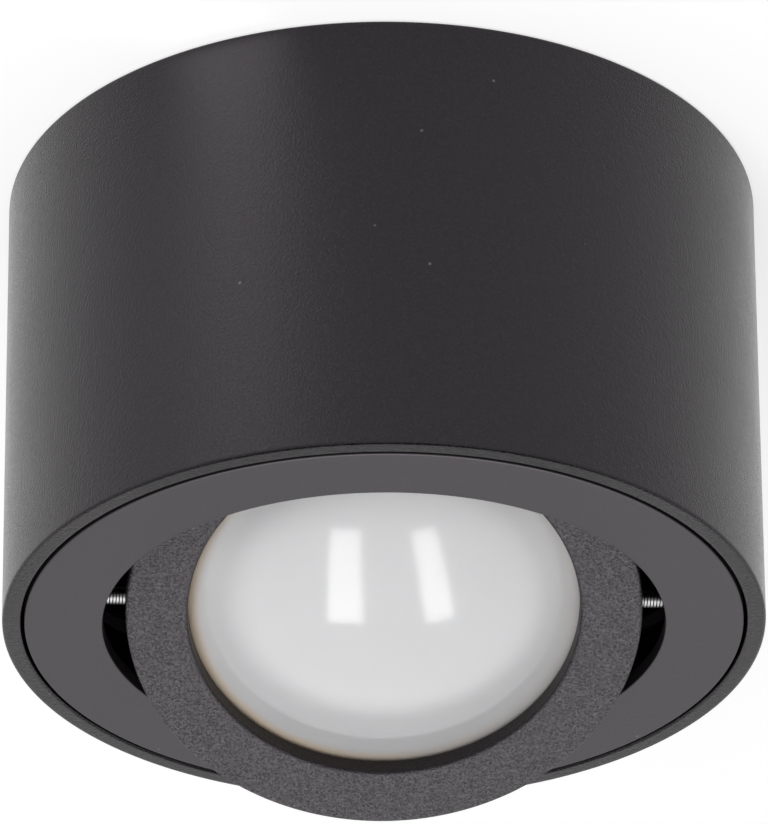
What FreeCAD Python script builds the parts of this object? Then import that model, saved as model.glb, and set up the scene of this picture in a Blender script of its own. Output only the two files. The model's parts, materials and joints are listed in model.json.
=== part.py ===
import FreeCAD, Part
import math
import os

from FreeCAD import Vector

# A surface mounted ceiling spotlight: a round housing with a flush front plate, in
# which a ring with the lamp behind it tilts on two screws. Millimetres.
# The origin is the middle of the face against the ceiling, +Z points up into the
# ceiling, and the head looks down and towards -Y.

# ------------------------------------------------------------------ driving sizes
# The lamp, a twist-lock puck
LAMP_DIAMETER = 75.0
DOME_RADIUS = 64.0            # of the opal front's curve
DIFFUSER_WALL = 1.4
DIFFUSER_STEP = 0.3           # the dome's edge is this much inside the lamp's rim
DIFFUSER_RIM = 1.6            # straight edge of the dome, along the lamp's axis
LAMP_RIM_DEPTH = 4.5
LAMP_REAR_STEP = 1.5          # the body behind the rim is this much smaller in radius
LAMP_REAR_DEPTH = 7.5
LAMP_WALL = 1.5
LAMP_LEDGE = 1.2              # ledge inside the body that the heat spreader rests on
PIN_SPACING = 53.0
PIN_NECK_DIAMETER = 3.2
PIN_HEAD_DIAMETER = 5.0
PIN_NECK_LENGTH = 5.0
PIN_HEAD_LENGTH = 2.4
PIN_RIVET = 0.8
LED_BOARD_DIAMETER = 52.0
BOARD_THICKNESS = 1.2
SPREADER_THICKNESS = 1.4
LED_SIDE = 2.8
LED_HEIGHT = 0.7
LED_CIRCLE_RADII = (18.0, 9.0)
LED_CIRCLE_COUNTS = (12, 6)
DRIVER_BOARD_DIAMETER = 44.0
DRIVER_POST_DIAMETER = 3.0
DRIVER_POST_CIRCLE = 38.0
DRIVER_POST_ANGLES = (60.0, 180.0, 300.0)
DRIVER_PARTS = ((-9.0, 6.0, 12.0, 10.0, 3.0), (8.0, 7.0, 9.0, 8.0, 2.8), (0.0, -8.0, 14.0, 6.0, 2.4))

# The tilting ring that carries the lamp
LAMP_FIT = 0.3                # play between the lamp and what holds it
DOME_FIT = 0.35               # along the axis, between the ring's opening and the dome
RING_COVER = 6.7              # how far the ring laps over the lamp's edge
RING_THICKNESS = 3.6
RING_LIP = 1.2                # the ring's face beyond its collar
RING_EDGE = 0.3
COLLAR_WALL = 1.6
COLLAR_TAIL = 2.0             # collar behind the retaining clip
SEAT_WIDTH = 2.4
SEAT_PLAY = 0.6               # along the axis, between the seat and the dome
CLIP_WIDTH = 2.2
CLIP_THICKNESS = 1.0
CLIP_OPENING_DEG = 26.0
CLIP_HOLE_DIAMETER = 1.1
CLIP_HOLE_DEG = 3.0           # from the clip's end to its hole
PIVOT_BOSS_DIAMETER = 9.0
PIVOT_BOSS_SETBACK = 0.5      # from the ring's edge to the boss's face
PIVOT_BOSS_INSET = 0.2        # from the collar's bore to the boss's start

# The lampholder on the lamp's back
HOLDER_DEPTH = 12.2
HOLDER_WALL = 2.2
HOLDER_COVER_THICKNESS = 2.0
HOLDER_POST_DIAMETER = 6.0
HOLDER_POST_CIRCLE = 54.0
HOLDER_SCREW_DIAMETER = 2.5
HOLDER_SCREW_LENGTH = 8.0
TWIST_DEG = 20.0              # turn between locked and released
PIN_PLAY = 0.4
CONTACT_THICKNESS = 0.6
CONTACT_WIDTH = 5.6
CONTACT_MARGIN_DEG = 6.0
CONTACT_LEG_DEG = 10.0
LEAD_BOSS_SIZE = 10.0
LEAD_BOSS_HEIGHT = 4.4
LEAD_BOSS_ROUNDING = 1.25

# The front plate and its pivots
HEAD_GAP = 3.6                # between the ring's edge and the plate's hole
PLATE_BAND = 12.3             # from the hole's edge to the plate's edge
PLATE_THICKNESS = 2.5
PLATE_EDGE = 0.2
PIVOT_HEIGHT = 5.5            # pivot axis above the plate's face
RING_SETBACK = 0.8            # the ring's face behind the plate's face, head level
TILT_DEG = 27.0               # tilt of the head as it hangs here
EAR_SETBACK = 0.8             # from the hole's edge to the ear
EAR_THICKNESS = 3.0
EAR_WIDTH = 10.0
PIVOT_SCREW_DIAMETER = 3.0
PIVOT_SCREW_LENGTH = 12.0
PIVOT_TIP = 0.4
PIVOT_SOCKET = 1.5            # across flats, and as deep
RUNNING_FIT = 0.05            # radial
LOCK_NUT_WIDTH = 5.5
LOCK_NUT_THICKNESS = 1.8

# The springs that hold the front plate in the housing
SPRING_ANGLES = (90.0, 210.0, 330.0)
SPRING_WIDTH = 8.0
SPRING_THICKNESS = 0.5
SPRING_PLAY = 2.5             # from the bore to the leaf
SPRING_BULGE = 0.4            # how far the bent leaf reaches into the groove
SPRING_CREST = 2.0            # height of the leaf's upright stretch in the groove
SPRING_POST_DIAMETER = 6.0
SPRING_POST_HEIGHT = 5.0
SPRING_POST_INSET = 7.0       # from the bore to the middle of the post
SPRING_SCREW_DIAMETER = 2.5
SPRING_SCREW_LENGTH = 5.0
GROOVE_HEIGHT = 19.0          # middle of the groove above the mouth
GROOVE_DEPTH = 1.2
GROOVE_OPENING = 6.0
GROOVE_FLOOR = 3.0

# The housing
PLATE_GAP = 0.5               # between the plate and the bore
HOUSING_WALL = 3.0
HOUSING_HEIGHT = 75.0
HOUSING_EDGE = 0.4
LUG_ANGLES = (30.0, 150.0, 270.0)
LUG_REACH = 8.0
LUG_WIDTH = 8.0
LUG_LENGTH = 10.0

# The back plate and what is fixed to it
BACK_PLATE_THICKNESS = 2.0
BACK_PLATE_GAP = 0.3
BACK_SCREW_DIAMETER = 3.0
BACK_SCREW_LENGTH = 8.0
BACK_SCREW_INSET = 4.5        # from the bore to the screw
CEILING_SLOT_SPACING = 70.0
CEILING_SLOT_WIDTH = 4.5
CEILING_SLOT_LENGTH = 12.0
GROMMET_PLACE = -24.0         # in Y
GROMMET_BORE = 8.0
GROMMET_HOLE = 14.0
GROMMET_FLANGE = 2.0
GROMMET_LIP = 1.5
BLOCK_PLACE = 24.0            # in Y
BLOCK_LENGTH = 26.0
BLOCK_WIDTH = 16.0
BLOCK_HEIGHT = 13.0
POLE_SPACING = 8.0
POLE_HEIGHT = 5.5             # the barrels' axis below the back plate
BARREL_DIAMETER = 4.6
BARREL_BORE = 2.4
CLAMP_SCREW_DIAMETER = 2.6
CLAMP_SCREW_SPACING = 8.0
CLAMP_SCREW_SINK = 1.0
CLAMP_SCREW_SLOT = 0.5        # as deep as it is wide
BLOCK_SCREW_DIAMETER = 2.0
EARTH_PLACE = (-27.0, -17.0)
EARTH_SCREW_DIAMETER = 4.0
EARTH_WASHER_THICKNESS = 0.8
EARTH_EYE_DIAMETER = 8.0
EARTH_EYE_THICKNESS = 0.8
EARTH_BARREL_LENGTH = 6.0
EARTH_BARREL_WALL = 0.7
SCREW_END_GAP = 0.2           # screws end this far below the ceiling

# Screw heads, as shares of the shank's diameter, and of the head's height
PAN_HEAD_WIDTH = 1.9
PAN_HEAD_HEIGHT = 0.6
PAN_HEAD_ROUNDING = 0.4       # of the head's height
RECESS_WIDTH = 0.75           # across flats
RECESS_DEPTH = 0.6            # of the head's height

# The leads
LEAD_DIAMETER = 1.6
LEAD_PITCH = 2.2
LEAD_GRIP = 1.5               # length of lead inside a terminal
SLEEVE_DIAMETER = 6.0
SLEEVE_BORE = 4.4
SLEEVE_LENGTH = 6.0
SLEEVE_DEPTH = 18.2           # middle of the sleeve below the ceiling
EARTH_WIRE_RUN = 11.5         # straight run of the earth wire at each end
SUPPLY_RUN = 5.0              # straight run of the other two out of the block
LOOP_REACH = 17.5             # how far to each side the lamp's leads loop out
LOOP_FORWARD = 6.0            # and how far towards +Y
LOOP_RISE = 3.0               # the leads turn outwards this much above the loop

# ------------------------------------------------------------- sizes that follow
LAMP_RADIUS = LAMP_DIAMETER / 2
COLLAR_BORE = LAMP_RADIUS + LAMP_FIT
COLLAR_RADIUS = COLLAR_BORE + COLLAR_WALL
RING_RADIUS = COLLAR_RADIUS + RING_LIP
OPENING_RADIUS = LAMP_RADIUS - RING_COVER
HOLE_RADIUS = RING_RADIUS + HEAD_GAP
PLATE_RADIUS = HOLE_RADIUS + PLATE_BAND
BORE_RADIUS = PLATE_RADIUS + PLATE_GAP
HOUSING_RADIUS = BORE_RADIUS + HOUSING_WALL

MOUTH_Z = -HOUSING_HEIGHT
PLATE_BACK_Z = MOUTH_Z + PLATE_THICKNESS
PIVOT_Z = MOUTH_Z + PIVOT_HEIGHT
RING_FACE_Z = MOUTH_Z + RING_SETBACK
GROOVE_Z = MOUTH_Z + GROOVE_HEIGHT
UNDER_PLATE_Z = -BACK_PLATE_THICKNESS
POLE_Z = UNDER_PLATE_Z - POLE_HEIGHT

# Heights in the head's own frame: 0 is the ring's face and up is into the housing
PIVOT_DEPTH = PIVOT_Z - RING_FACE_Z


def dome_height(radius, dome_radius):
    """How far a dome has fallen behind its crown at this radius."""
    return dome_radius - math.sqrt(dome_radius ** 2 - radius ** 2)


CROWN = RING_THICKNESS + DOME_FIT - dome_height(OPENING_RADIUS, DOME_RADIUS)
DIFFUSER_RADIUS = LAMP_RADIUS - DIFFUSER_STEP
DIFFUSER_EDGE = CROWN + dome_height(DIFFUSER_RADIUS, DOME_RADIUS)
LAMP_RIM_FRONT = DIFFUSER_EDGE + DIFFUSER_RIM
LAMP_RIM_BACK = LAMP_RIM_FRONT + LAMP_RIM_DEPTH
LAMP_BACK = LAMP_RIM_BACK + LAMP_REAR_DEPTH
LAMP_FLOOR = LAMP_BACK - LAMP_WALL
LAMP_REAR_RADIUS = LAMP_RADIUS - LAMP_REAR_STEP
LAMP_INNER_RADIUS = LAMP_REAR_RADIUS - LAMP_WALL
SPREADER_RADIUS = LAMP_INNER_RADIUS
SPREADER_BACK = LAMP_RIM_BACK
LED_BOARD_BACK = SPREADER_BACK - SPREADER_THICKNESS
LED_BOARD_FRONT = LED_BOARD_BACK - BOARD_THICKNESS
DRIVER_BACK = LAMP_FLOOR - max(part[4] for part in DRIVER_PARTS) - LAMP_FIT
DRIVER_FRONT = DRIVER_BACK - BOARD_THICKNESS

SEAT_RADIUS = COLLAR_BORE - SEAT_WIDTH
SEAT_TOP = CROWN + dome_height(SEAT_RADIUS, DOME_RADIUS) - SEAT_PLAY
CLIP_FRONT = LAMP_RIM_BACK + LAMP_FIT
CLIP_BACK = CLIP_FRONT + CLIP_THICKNESS
CLIP_INNER_RADIUS = LAMP_REAR_RADIUS + LAMP_FIT
CLIP_OUTER_RADIUS = CLIP_INNER_RADIUS + CLIP_WIDTH
COLLAR_END = CLIP_BACK + COLLAR_TAIL

HOLDER_RADIUS = LAMP_REAR_RADIUS
HOLDER_FRONT = LAMP_BACK + LAMP_FIT
HOLDER_BACK = HOLDER_FRONT + HOLDER_DEPTH
COVER_BACK = HOLDER_BACK + HOLDER_COVER_THICKNESS
PIN_CIRCLE = PIN_SPACING / 2
PIN_END = LAMP_BACK + PIN_NECK_LENGTH + PIN_HEAD_LENGTH

EAR_INNER = HOLE_RADIUS + EAR_SETBACK
EAR_OUTER = EAR_INNER + EAR_THICKNESS
PIVOT_RADIUS = PIVOT_SCREW_DIAMETER / 2
PIVOT_START = COLLAR_BORE + PIVOT_TIP
AXIS_X = Vector(1, 0, 0)
AXIS_Z = Vector(0, 0, 1)
BOTH_SIDES = (0.0, 180.0)


# --------------------------------------------------------------------- workshop
def cylinder(diameter, low, high, x=0.0, y=0.0):
    """An upright cylinder from one height to another."""
    return Part.makeCylinder(diameter / 2, high - low, Vector(x, y, low))


def tube(outer_diameter, inner_diameter, low, high, x=0.0, y=0.0):
    """An upright tube."""
    outer = cylinder(outer_diameter, low, high, x, y)
    return outer.cut(cylinder(inner_diameter, low, high, x, y))


def box(x_low, x_high, y_low, y_high, z_low, z_high):
    """A block between two corners."""
    corner = Vector(x_low, y_low, z_low)
    return Part.makeBox(x_high - x_low, y_high - y_low, z_high - z_low, corner)


def turned(points):
    """A closed outline of (radius, height) points, spun about the Z axis."""
    corners = [Vector(radius, 0, height) for radius, height in points]
    face = Part.Face(Part.makePolygon(corners + corners[:1]))
    return face.revolve(Vector(), AXIS_Z, 360)


def sector(inner, outer, low, high, start_deg, end_deg):
    """Part of a flat ring between two angles."""
    corners = [(inner, low), (outer, low), (outer, high), (inner, high)]
    points = [Vector(radius, 0, height) for radius, height in corners]
    face = Part.Face(Part.makePolygon(points + points[:1]))
    solid = face.revolve(Vector(), AXIS_Z, end_deg - start_deg)
    return solid.rotated(Vector(), AXIS_Z, start_deg)


def around(shape, angles):
    """Copies of a shape at angles about the Z axis."""
    return [shape.rotated(Vector(), AXIS_Z, angle) for angle in angles]


def laid_along_x(shape, start, height):
    """Lays an upright shape along +X, from this X and at this height."""
    return shape.rotated(Vector(), Vector(0, 1, 0), 90).translated(Vector(start, 0, height))


def hexagon(width, low, high):
    """An upright six-sided bar with flats towards +X and -X, measured across them."""
    corner_radius = width / math.sqrt(3)
    angles = [math.radians(60 * side + 30) for side in range(6)]
    points = [Vector(corner_radius * math.cos(a), corner_radius * math.sin(a), low) for a in angles]
    face = Part.Face(Part.makePolygon(points + points[:1]))
    return face.extrude(Vector(0, 0, high - low))


def screw(diameter, length):
    """A pan head screw, head down: the head's seat is at 0 and the shank points up."""
    head_height = PAN_HEAD_HEIGHT * diameter
    head = cylinder(PAN_HEAD_WIDTH * diameter, -head_height, 0)
    head = head.makeFillet(PAN_HEAD_ROUNDING * head_height, [head.Edges[2]])
    recess = hexagon(RECESS_WIDTH * diameter, -head_height, (RECESS_DEPTH - 1) * head_height)
    return head.cut(recess).fuse(cylinder(diameter, 0, length)).removeSplitter()


def countersunk_screw(diameter, length):
    """A flat head screw, head up: the head's top is at 0 and the shank points down."""
    head_height = diameter / 2
    head = Part.makeCone(diameter / 2, diameter, head_height, Vector(0, 0, -head_height))
    recess = hexagon(RECESS_WIDTH * diameter, -RECESS_DEPTH * head_height, 0)
    return head.cut(recess).fuse(cylinder(diameter, -length, -head_height)).removeSplitter()


def rounded_path(points):
    """Straight runs joined by tangent arcs, and the arcs' radii."""
    edges = []
    radii = []
    start = points[0]
    for before, corner, after in zip(points, points[1:], points[2:]):
        inward = (before - corner).normalize()
        onward = (after - corner).normalize()
        reach = 0.45 * min((before - corner).Length, (after - corner).Length)
        half_turn = (math.pi - inward.getAngle(onward)) / 2
        radius = reach / math.tan(half_turn)
        middle = (inward + onward).normalize()
        crest = corner + middle * (radius / math.cos(half_turn) - radius)
        first, last = corner + inward * reach, corner + onward * reach
        edges.append(Part.LineSegment(start, first).toShape())
        edges.append(Part.Arc(first, crest, last).toShape())
        radii.append(radius)
        start = last
    edges.append(Part.LineSegment(start, points[-1]).toShape())
    return Part.Wire(edges), radii


def lead(name, points):
    """An insulated lead along a route; prints its bends, its length and its volume."""
    path, radii = rounded_path(points)
    heading = points[1] - points[0]
    section = Part.Wire(Part.makeCircle(LEAD_DIAMETER / 2, points[0], heading))
    solid = path.makePipeShell([section], True, False)
    true_volume = math.pi * (LEAD_DIAMETER / 2) ** 2 * path.Length
    bends = ", ".join("%.1f" % radius for radius in radii)
    print("%s: length %.1f, bend radii %s, volume %.4f of its section times its length"
          % (name, path.Length, bends, solid.Volume / true_volume))
    return solid


def hung(shape):
    """Moves a shape from the head's own frame to where the tilted head hangs."""
    level = shape.translated(Vector(0, 0, RING_FACE_Z))
    return level.rotated(Vector(0, 0, PIVOT_Z), AXIS_X, -TILT_DEG)


def save(node, solids):
    """Writes one node's STEP file."""
    shape = solids[0] if len(solids) == 1 else Part.makeCompound(solids)
    shape.exportStep("parts/" + node + ".step")
    box_size = shape.BoundBox
    print("%-24s %2d solids, %.1f x %.1f x %.1f" % (
        node, len(shape.Solids), box_size.XLength, box_size.YLength, box_size.ZLength))


# ---------------------------------------------------------------------- housing
def housing_tube():
    """The outer tube, with a spring groove near the mouth and lugs for the back plate."""
    body = turned([
        (HOUSING_RADIUS - HOUSING_EDGE, MOUTH_Z), (HOUSING_RADIUS, MOUTH_Z + HOUSING_EDGE),
        (HOUSING_RADIUS, 0), (BORE_RADIUS, 0),
        (BORE_RADIUS, GROOVE_Z + GROOVE_OPENING / 2),
        (BORE_RADIUS + GROOVE_DEPTH, GROOVE_Z + GROOVE_FLOOR / 2),
        (BORE_RADIUS + GROOVE_DEPTH, GROOVE_Z - GROOVE_FLOOR / 2),
        (BORE_RADIUS, GROOVE_Z - GROOVE_OPENING / 2), (BORE_RADIUS, MOUTH_Z)])
    lug = box(BORE_RADIUS - LUG_REACH, BORE_RADIUS + HOUSING_WALL / 2,
              -LUG_WIDTH / 2, LUG_WIDTH / 2, UNDER_PLATE_Z - LUG_LENGTH, UNDER_PLATE_Z)
    thread = cylinder(BACK_SCREW_DIAMETER + 2 * RUNNING_FIT, UNDER_PLATE_Z - LUG_LENGTH,
                      UNDER_PLATE_Z, BORE_RADIUS - BACK_SCREW_INSET)
    body = body.fuse(around(lug, LUG_ANGLES))
    return body.cut(around(thread, LUG_ANGLES)).removeSplitter()


def ceiling_slot():
    """The cutter for one slot, round at both ends and long in X."""
    half_run = (CEILING_SLOT_LENGTH - CEILING_SLOT_WIDTH) / 2
    middle = box(-half_run, half_run, -CEILING_SLOT_WIDTH / 2, CEILING_SLOT_WIDTH / 2, UNDER_PLATE_Z, 0)
    ends = [cylinder(CEILING_SLOT_WIDTH, UNDER_PLATE_Z, 0, x) for x in (-half_run, half_run)]
    return middle.fuse(ends).translated(Vector(CEILING_SLOT_SPACING / 2, 0, 0))


def block_screw_places():
    """The terminal block's fixing holes lie between its poles."""
    return [(side * POLE_SPACING / 2, BLOCK_PLACE) for side in (-1, 1)]


def back_plate():
    """The steel disc that closes the housing and is screwed to the ceiling."""
    plate = cylinder(2 * (BORE_RADIUS - BACK_PLATE_GAP), UNDER_PLATE_Z, 0)
    sink = countersunk_screw(BACK_SCREW_DIAMETER + 2 * RUNNING_FIT, BACK_SCREW_LENGTH)
    sink = sink.fuse(Part.makeCylinder(BACK_SCREW_DIAMETER / 2, BACK_SCREW_DIAMETER / 2,
                                       Vector(0, 0, -BACK_SCREW_DIAMETER / 2)))
    sink = sink.translated(Vector(BORE_RADIUS - BACK_SCREW_INSET, 0, 0))
    cutters = around(sink, LUG_ANGLES) + around(ceiling_slot(), BOTH_SIDES)
    cutters.append(cylinder(GROMMET_HOLE, UNDER_PLATE_Z, 0, 0, GROMMET_PLACE))
    cutters.append(cylinder(EARTH_SCREW_DIAMETER + 2 * RUNNING_FIT, UNDER_PLATE_Z, 0, *EARTH_PLACE))
    for x, y in block_screw_places():
        cutters.append(cylinder(BLOCK_SCREW_DIAMETER + 2 * RUNNING_FIT, UNDER_PLATE_Z, 0, x, y))
    return plate.cut(cutters)


def back_plate_screws():
    """Three flat head screws through the back plate into the housing's lugs."""
    one = countersunk_screw(BACK_SCREW_DIAMETER, BACK_SCREW_LENGTH)
    one = one.translated(Vector(BORE_RADIUS - BACK_SCREW_INSET, 0, 0))
    return around(one, LUG_ANGLES)


def cable_grommet():
    """A rubber bush that clips into the back plate's cable hole from below."""
    hole = GROMMET_HOLE / 2
    flange = hole + GROMMET_FLANGE
    ring = turned([(GROMMET_BORE / 2, 0), (hole, 0), (hole, UNDER_PLATE_Z), (flange, UNDER_PLATE_Z),
                   (flange, UNDER_PLATE_Z - GROMMET_LIP), (GROMMET_BORE / 2, UNDER_PLATE_Z - GROMMET_LIP)])
    return ring.translated(Vector(0, GROMMET_PLACE, 0))


# --------------------------------------------------------------- terminal block
def pole_places():
    """X of the three poles: earth, neutral and live."""
    return [-POLE_SPACING, 0.0, POLE_SPACING]


def clamp_screw_places():
    """Two clamping screws on each pole."""
    return [(x, BLOCK_PLACE + side * CLAMP_SCREW_SPACING / 2) for x in pole_places() for side in (-1, 1)]


def barrel(diameter):
    """A pole's barrel, or the hole for it, along Y through the block."""
    upright = cylinder(diameter, -BLOCK_WIDTH / 2, BLOCK_WIDTH / 2)
    return upright.rotated(Vector(), AXIS_X, 90).translated(Vector(0, BLOCK_PLACE, POLE_Z))


def terminal_block():
    """The plastic block, open below for the clamping screws."""
    bottom = UNDER_PLATE_Z - BLOCK_HEIGHT
    body = box(-BLOCK_LENGTH / 2, BLOCK_LENGTH / 2, BLOCK_PLACE - BLOCK_WIDTH / 2,
               BLOCK_PLACE + BLOCK_WIDTH / 2, bottom, UNDER_PLATE_Z)
    cutters = [barrel(BARREL_DIAMETER).translated(Vector(x, 0, 0)) for x in pole_places()]
    for x, y in clamp_screw_places():
        cutters.append(cylinder(CLAMP_SCREW_DIAMETER + 2 * RUNNING_FIT, bottom, POLE_Z, x, y))
    for x, y in block_screw_places():
        cutters.append(cylinder(BLOCK_SCREW_DIAMETER + 2 * RUNNING_FIT, bottom, UNDER_PLATE_Z, x, y))
    return body.cut(cutters)


def terminal_barrels():
    """Three brass barrels, bored for the leads and drilled for the clamping screws."""
    bored = barrel(BARREL_DIAMETER).cut(barrel(BARREL_BORE))
    holes = [cylinder(CLAMP_SCREW_DIAMETER + 2 * RUNNING_FIT, POLE_Z - BARREL_DIAMETER, POLE_Z, 0,
                      BLOCK_PLACE + side * CLAMP_SCREW_SPACING / 2) for side in (-1, 1)]
    drilled = bored.cut(holes)
    return [drilled.translated(Vector(x, 0, 0)) for x in pole_places()]


def terminal_clamp_screws():
    """Slotted screws that come up through the block into the barrels."""
    low = UNDER_PLATE_Z - BLOCK_HEIGHT + CLAMP_SCREW_SINK
    high = POLE_Z - LEAD_DIAMETER / 2
    one = cylinder(CLAMP_SCREW_DIAMETER, low, high)
    slot_width = CLAMP_SCREW_SLOT
    slot = box(-CLAMP_SCREW_DIAMETER, CLAMP_SCREW_DIAMETER, -slot_width / 2, slot_width / 2,
               low, low + slot_width)
    slotted = one.cut(slot)
    return [slotted.translated(Vector(x, y, 0)) for x, y in clamp_screw_places()]


def terminal_block_screws():
    """Two long screws that hold the block to the back plate."""
    bottom = UNDER_PLATE_Z - BLOCK_HEIGHT
    one = screw(BLOCK_SCREW_DIAMETER, -bottom - SCREW_END_GAP)
    return [one.translated(Vector(x, y, bottom)) for x, y in block_screw_places()]


# ------------------------------------------------------------------------ earth
EARTH_EYE_TOP = UNDER_PLATE_Z
EARTH_EYE_BOTTOM = EARTH_EYE_TOP - EARTH_EYE_THICKNESS
EARTH_WASHER_BOTTOM = EARTH_EYE_BOTTOM - EARTH_WASHER_THICKNESS
EARTH_BARREL_Z = EARTH_EYE_TOP - LEAD_DIAMETER
EARTH_BARREL_END = EARTH_PLACE[1] + EARTH_EYE_DIAMETER / 2 + EARTH_BARREL_LENGTH


def earth_lug():
    """The ring terminal crimped on the earth wire."""
    x, y = EARTH_PLACE
    hole = EARTH_SCREW_DIAMETER + 2 * RUNNING_FIT
    eye = tube(EARTH_EYE_DIAMETER, hole, EARTH_EYE_BOTTOM, EARTH_EYE_TOP, x, y)
    length = EARTH_BARREL_END - y - hole / 2
    crimp_diameter = LEAD_DIAMETER + 2 * EARTH_BARREL_WALL
    crimp = cylinder(crimp_diameter, 0, length).rotated(Vector(), AXIS_X, -90)
    crimp = crimp.translated(Vector(x, y + hole / 2, EARTH_BARREL_Z))
    clear = cylinder(EARTH_EYE_DIAMETER, EARTH_WASHER_BOTTOM - EARTH_EYE_DIAMETER, EARTH_EYE_BOTTOM, x, y)
    socket = cylinder(LEAD_DIAMETER + 2 * RUNNING_FIT, 0, LEAD_GRIP).rotated(Vector(), AXIS_X, 90)
    socket = socket.translated(Vector(x, EARTH_BARREL_END, EARTH_BARREL_Z))
    bolt_hole = cylinder(hole, EARTH_WASHER_BOTTOM, EARTH_EYE_TOP, x, y)
    return eye.fuse(crimp.cut(clear)).cut(bolt_hole).cut(socket).removeSplitter()


def earth_washer():
    """The washer under the earth screw's head."""
    x, y = EARTH_PLACE
    return tube(EARTH_EYE_DIAMETER, EARTH_SCREW_DIAMETER + 2 * RUNNING_FIT,
                EARTH_WASHER_BOTTOM, EARTH_EYE_BOTTOM, x, y)


def earth_screw():
    """The screw that bonds the housing to earth."""
    x, y = EARTH_PLACE
    length = -EARTH_WASHER_BOTTOM - SCREW_END_GAP
    return screw(EARTH_SCREW_DIAMETER, length).translated(Vector(x, y, EARTH_WASHER_BOTTOM))


def earth_wire():
    """From the block's earth pole to the ring terminal."""
    x, end_y = EARTH_PLACE[0], EARTH_BARREL_END - LEAD_GRIP
    block_side = BLOCK_PLACE - BLOCK_WIDTH / 2
    pole_x = pole_places()[0]
    return lead("earth_wire", [
        Vector(pole_x, block_side + LEAD_GRIP, POLE_Z),
        Vector(pole_x, block_side - EARTH_WIRE_RUN, POLE_Z),
        Vector(x, end_y + EARTH_WIRE_RUN, EARTH_BARREL_Z), Vector(x, end_y, EARTH_BARREL_Z)])


# ------------------------------------------------------------------ front plate
def front_plate():
    """The flush disc with the head's hole, its pivot ears and its spring posts."""
    disc = turned([
        (HOLE_RADIUS + PLATE_EDGE, MOUTH_Z), (PLATE_RADIUS - PLATE_EDGE, MOUTH_Z),
        (PLATE_RADIUS, MOUTH_Z + PLATE_EDGE), (PLATE_RADIUS, PLATE_BACK_Z),
        (HOLE_RADIUS, PLATE_BACK_Z), (HOLE_RADIUS, MOUTH_Z + PLATE_EDGE)])
    foot = box(EAR_INNER, EAR_OUTER, -EAR_WIDTH / 2, EAR_WIDTH / 2, PLATE_BACK_Z, PIVOT_Z)
    crest = laid_along_x(cylinder(EAR_WIDTH, 0, EAR_THICKNESS), EAR_INNER, PIVOT_Z)
    below = box(EAR_INNER, EAR_OUTER, -EAR_WIDTH, EAR_WIDTH, MOUTH_Z - EAR_WIDTH, PLATE_BACK_Z)
    ear = foot.fuse(crest.cut(below))
    hole = laid_along_x(cylinder(PIVOT_SCREW_DIAMETER + 2 * RUNNING_FIT, 0, EAR_THICKNESS),
                        EAR_INNER, PIVOT_Z)
    post_x = BORE_RADIUS - SPRING_POST_INSET
    post = cylinder(SPRING_POST_DIAMETER, PLATE_BACK_Z, PLATE_BACK_Z + SPRING_POST_HEIGHT, post_x)
    pilot = cylinder(SPRING_SCREW_DIAMETER + 2 * RUNNING_FIT, PLATE_BACK_Z,
                     PLATE_BACK_Z + SPRING_POST_HEIGHT, post_x)
    plate = disc.fuse(around(ear, BOTH_SIDES) + around(post, SPRING_ANGLES))
    return plate.cut(around(hole, BOTH_SIDES) + around(pilot, SPRING_ANGLES)).removeSplitter()


def bent_strip(points, thickness, width):
    """An open line of (radius, height) points, thickened to its left and drawn out in Y."""
    headings = [math.atan2(b[1] - a[1], b[0] - a[0]) for a, b in zip(points, points[1:])]
    joints = [headings[0]] + [(a + b) / 2 for a, b in zip(headings, headings[1:])] + [headings[-1]]
    bends = [0.0] + [(b - a) / 2 for a, b in zip(headings, headings[1:])] + [0.0]
    inner = []
    for (radius, height), joint, bend in zip(points, joints, bends):
        shift = thickness / math.cos(bend)
        inner.append((radius - shift * math.sin(joint), height + shift * math.cos(joint)))
    outline = [Vector(radius, -width / 2, height) for radius, height in points + inner[::-1]]
    return Part.Face(Part.makePolygon(outline + outline[:1])).extrude(Vector(0, width, 0))


def plate_springs():
    """Three leaf springs; each bends out into the housing's groove."""
    foot_z = PLATE_BACK_Z + SPRING_POST_HEIGHT
    post_x = BORE_RADIUS - SPRING_POST_INSET
    leaf_x = BORE_RADIUS - SPRING_PLAY
    bulge_x = BORE_RADIUS + SPRING_BULGE
    bulge_half = SPRING_CREST / 2
    leaf = bent_strip([
        (post_x - SPRING_POST_DIAMETER / 2, foot_z), (leaf_x, foot_z),
        (leaf_x, GROOVE_Z - GROOVE_OPENING), (bulge_x, GROOVE_Z - bulge_half),
        (bulge_x, GROOVE_Z + bulge_half), (leaf_x, GROOVE_Z + GROOVE_OPENING)],
        SPRING_THICKNESS, SPRING_WIDTH)
    hole = cylinder(SPRING_SCREW_DIAMETER + 2 * RUNNING_FIT, foot_z, foot_z + SPRING_THICKNESS, post_x)
    return around(leaf.cut(hole), SPRING_ANGLES)


def plate_spring_screws():
    """The screws that hold the springs to their posts."""
    seat = PLATE_BACK_Z + SPRING_POST_HEIGHT + SPRING_THICKNESS
    one = screw(SPRING_SCREW_DIAMETER, SPRING_SCREW_LENGTH).rotated(Vector(), AXIS_X, 180)
    return around(one.translated(Vector(BORE_RADIUS - SPRING_POST_INSET, 0, seat)), SPRING_ANGLES)


def pivot_screws():
    """Two socket screws through the ears; the head turns on their tips."""
    rod = cylinder(PIVOT_SCREW_DIAMETER, 0, PIVOT_SCREW_LENGTH)
    rod = rod.makeChamfer(PIVOT_TIP, [rod.Edges[2]])
    socket = hexagon(PIVOT_SOCKET, PIVOT_SCREW_LENGTH - PIVOT_SOCKET, PIVOT_SCREW_LENGTH)
    return around(laid_along_x(rod.cut(socket), PIVOT_START, PIVOT_Z), BOTH_SIDES)


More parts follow.
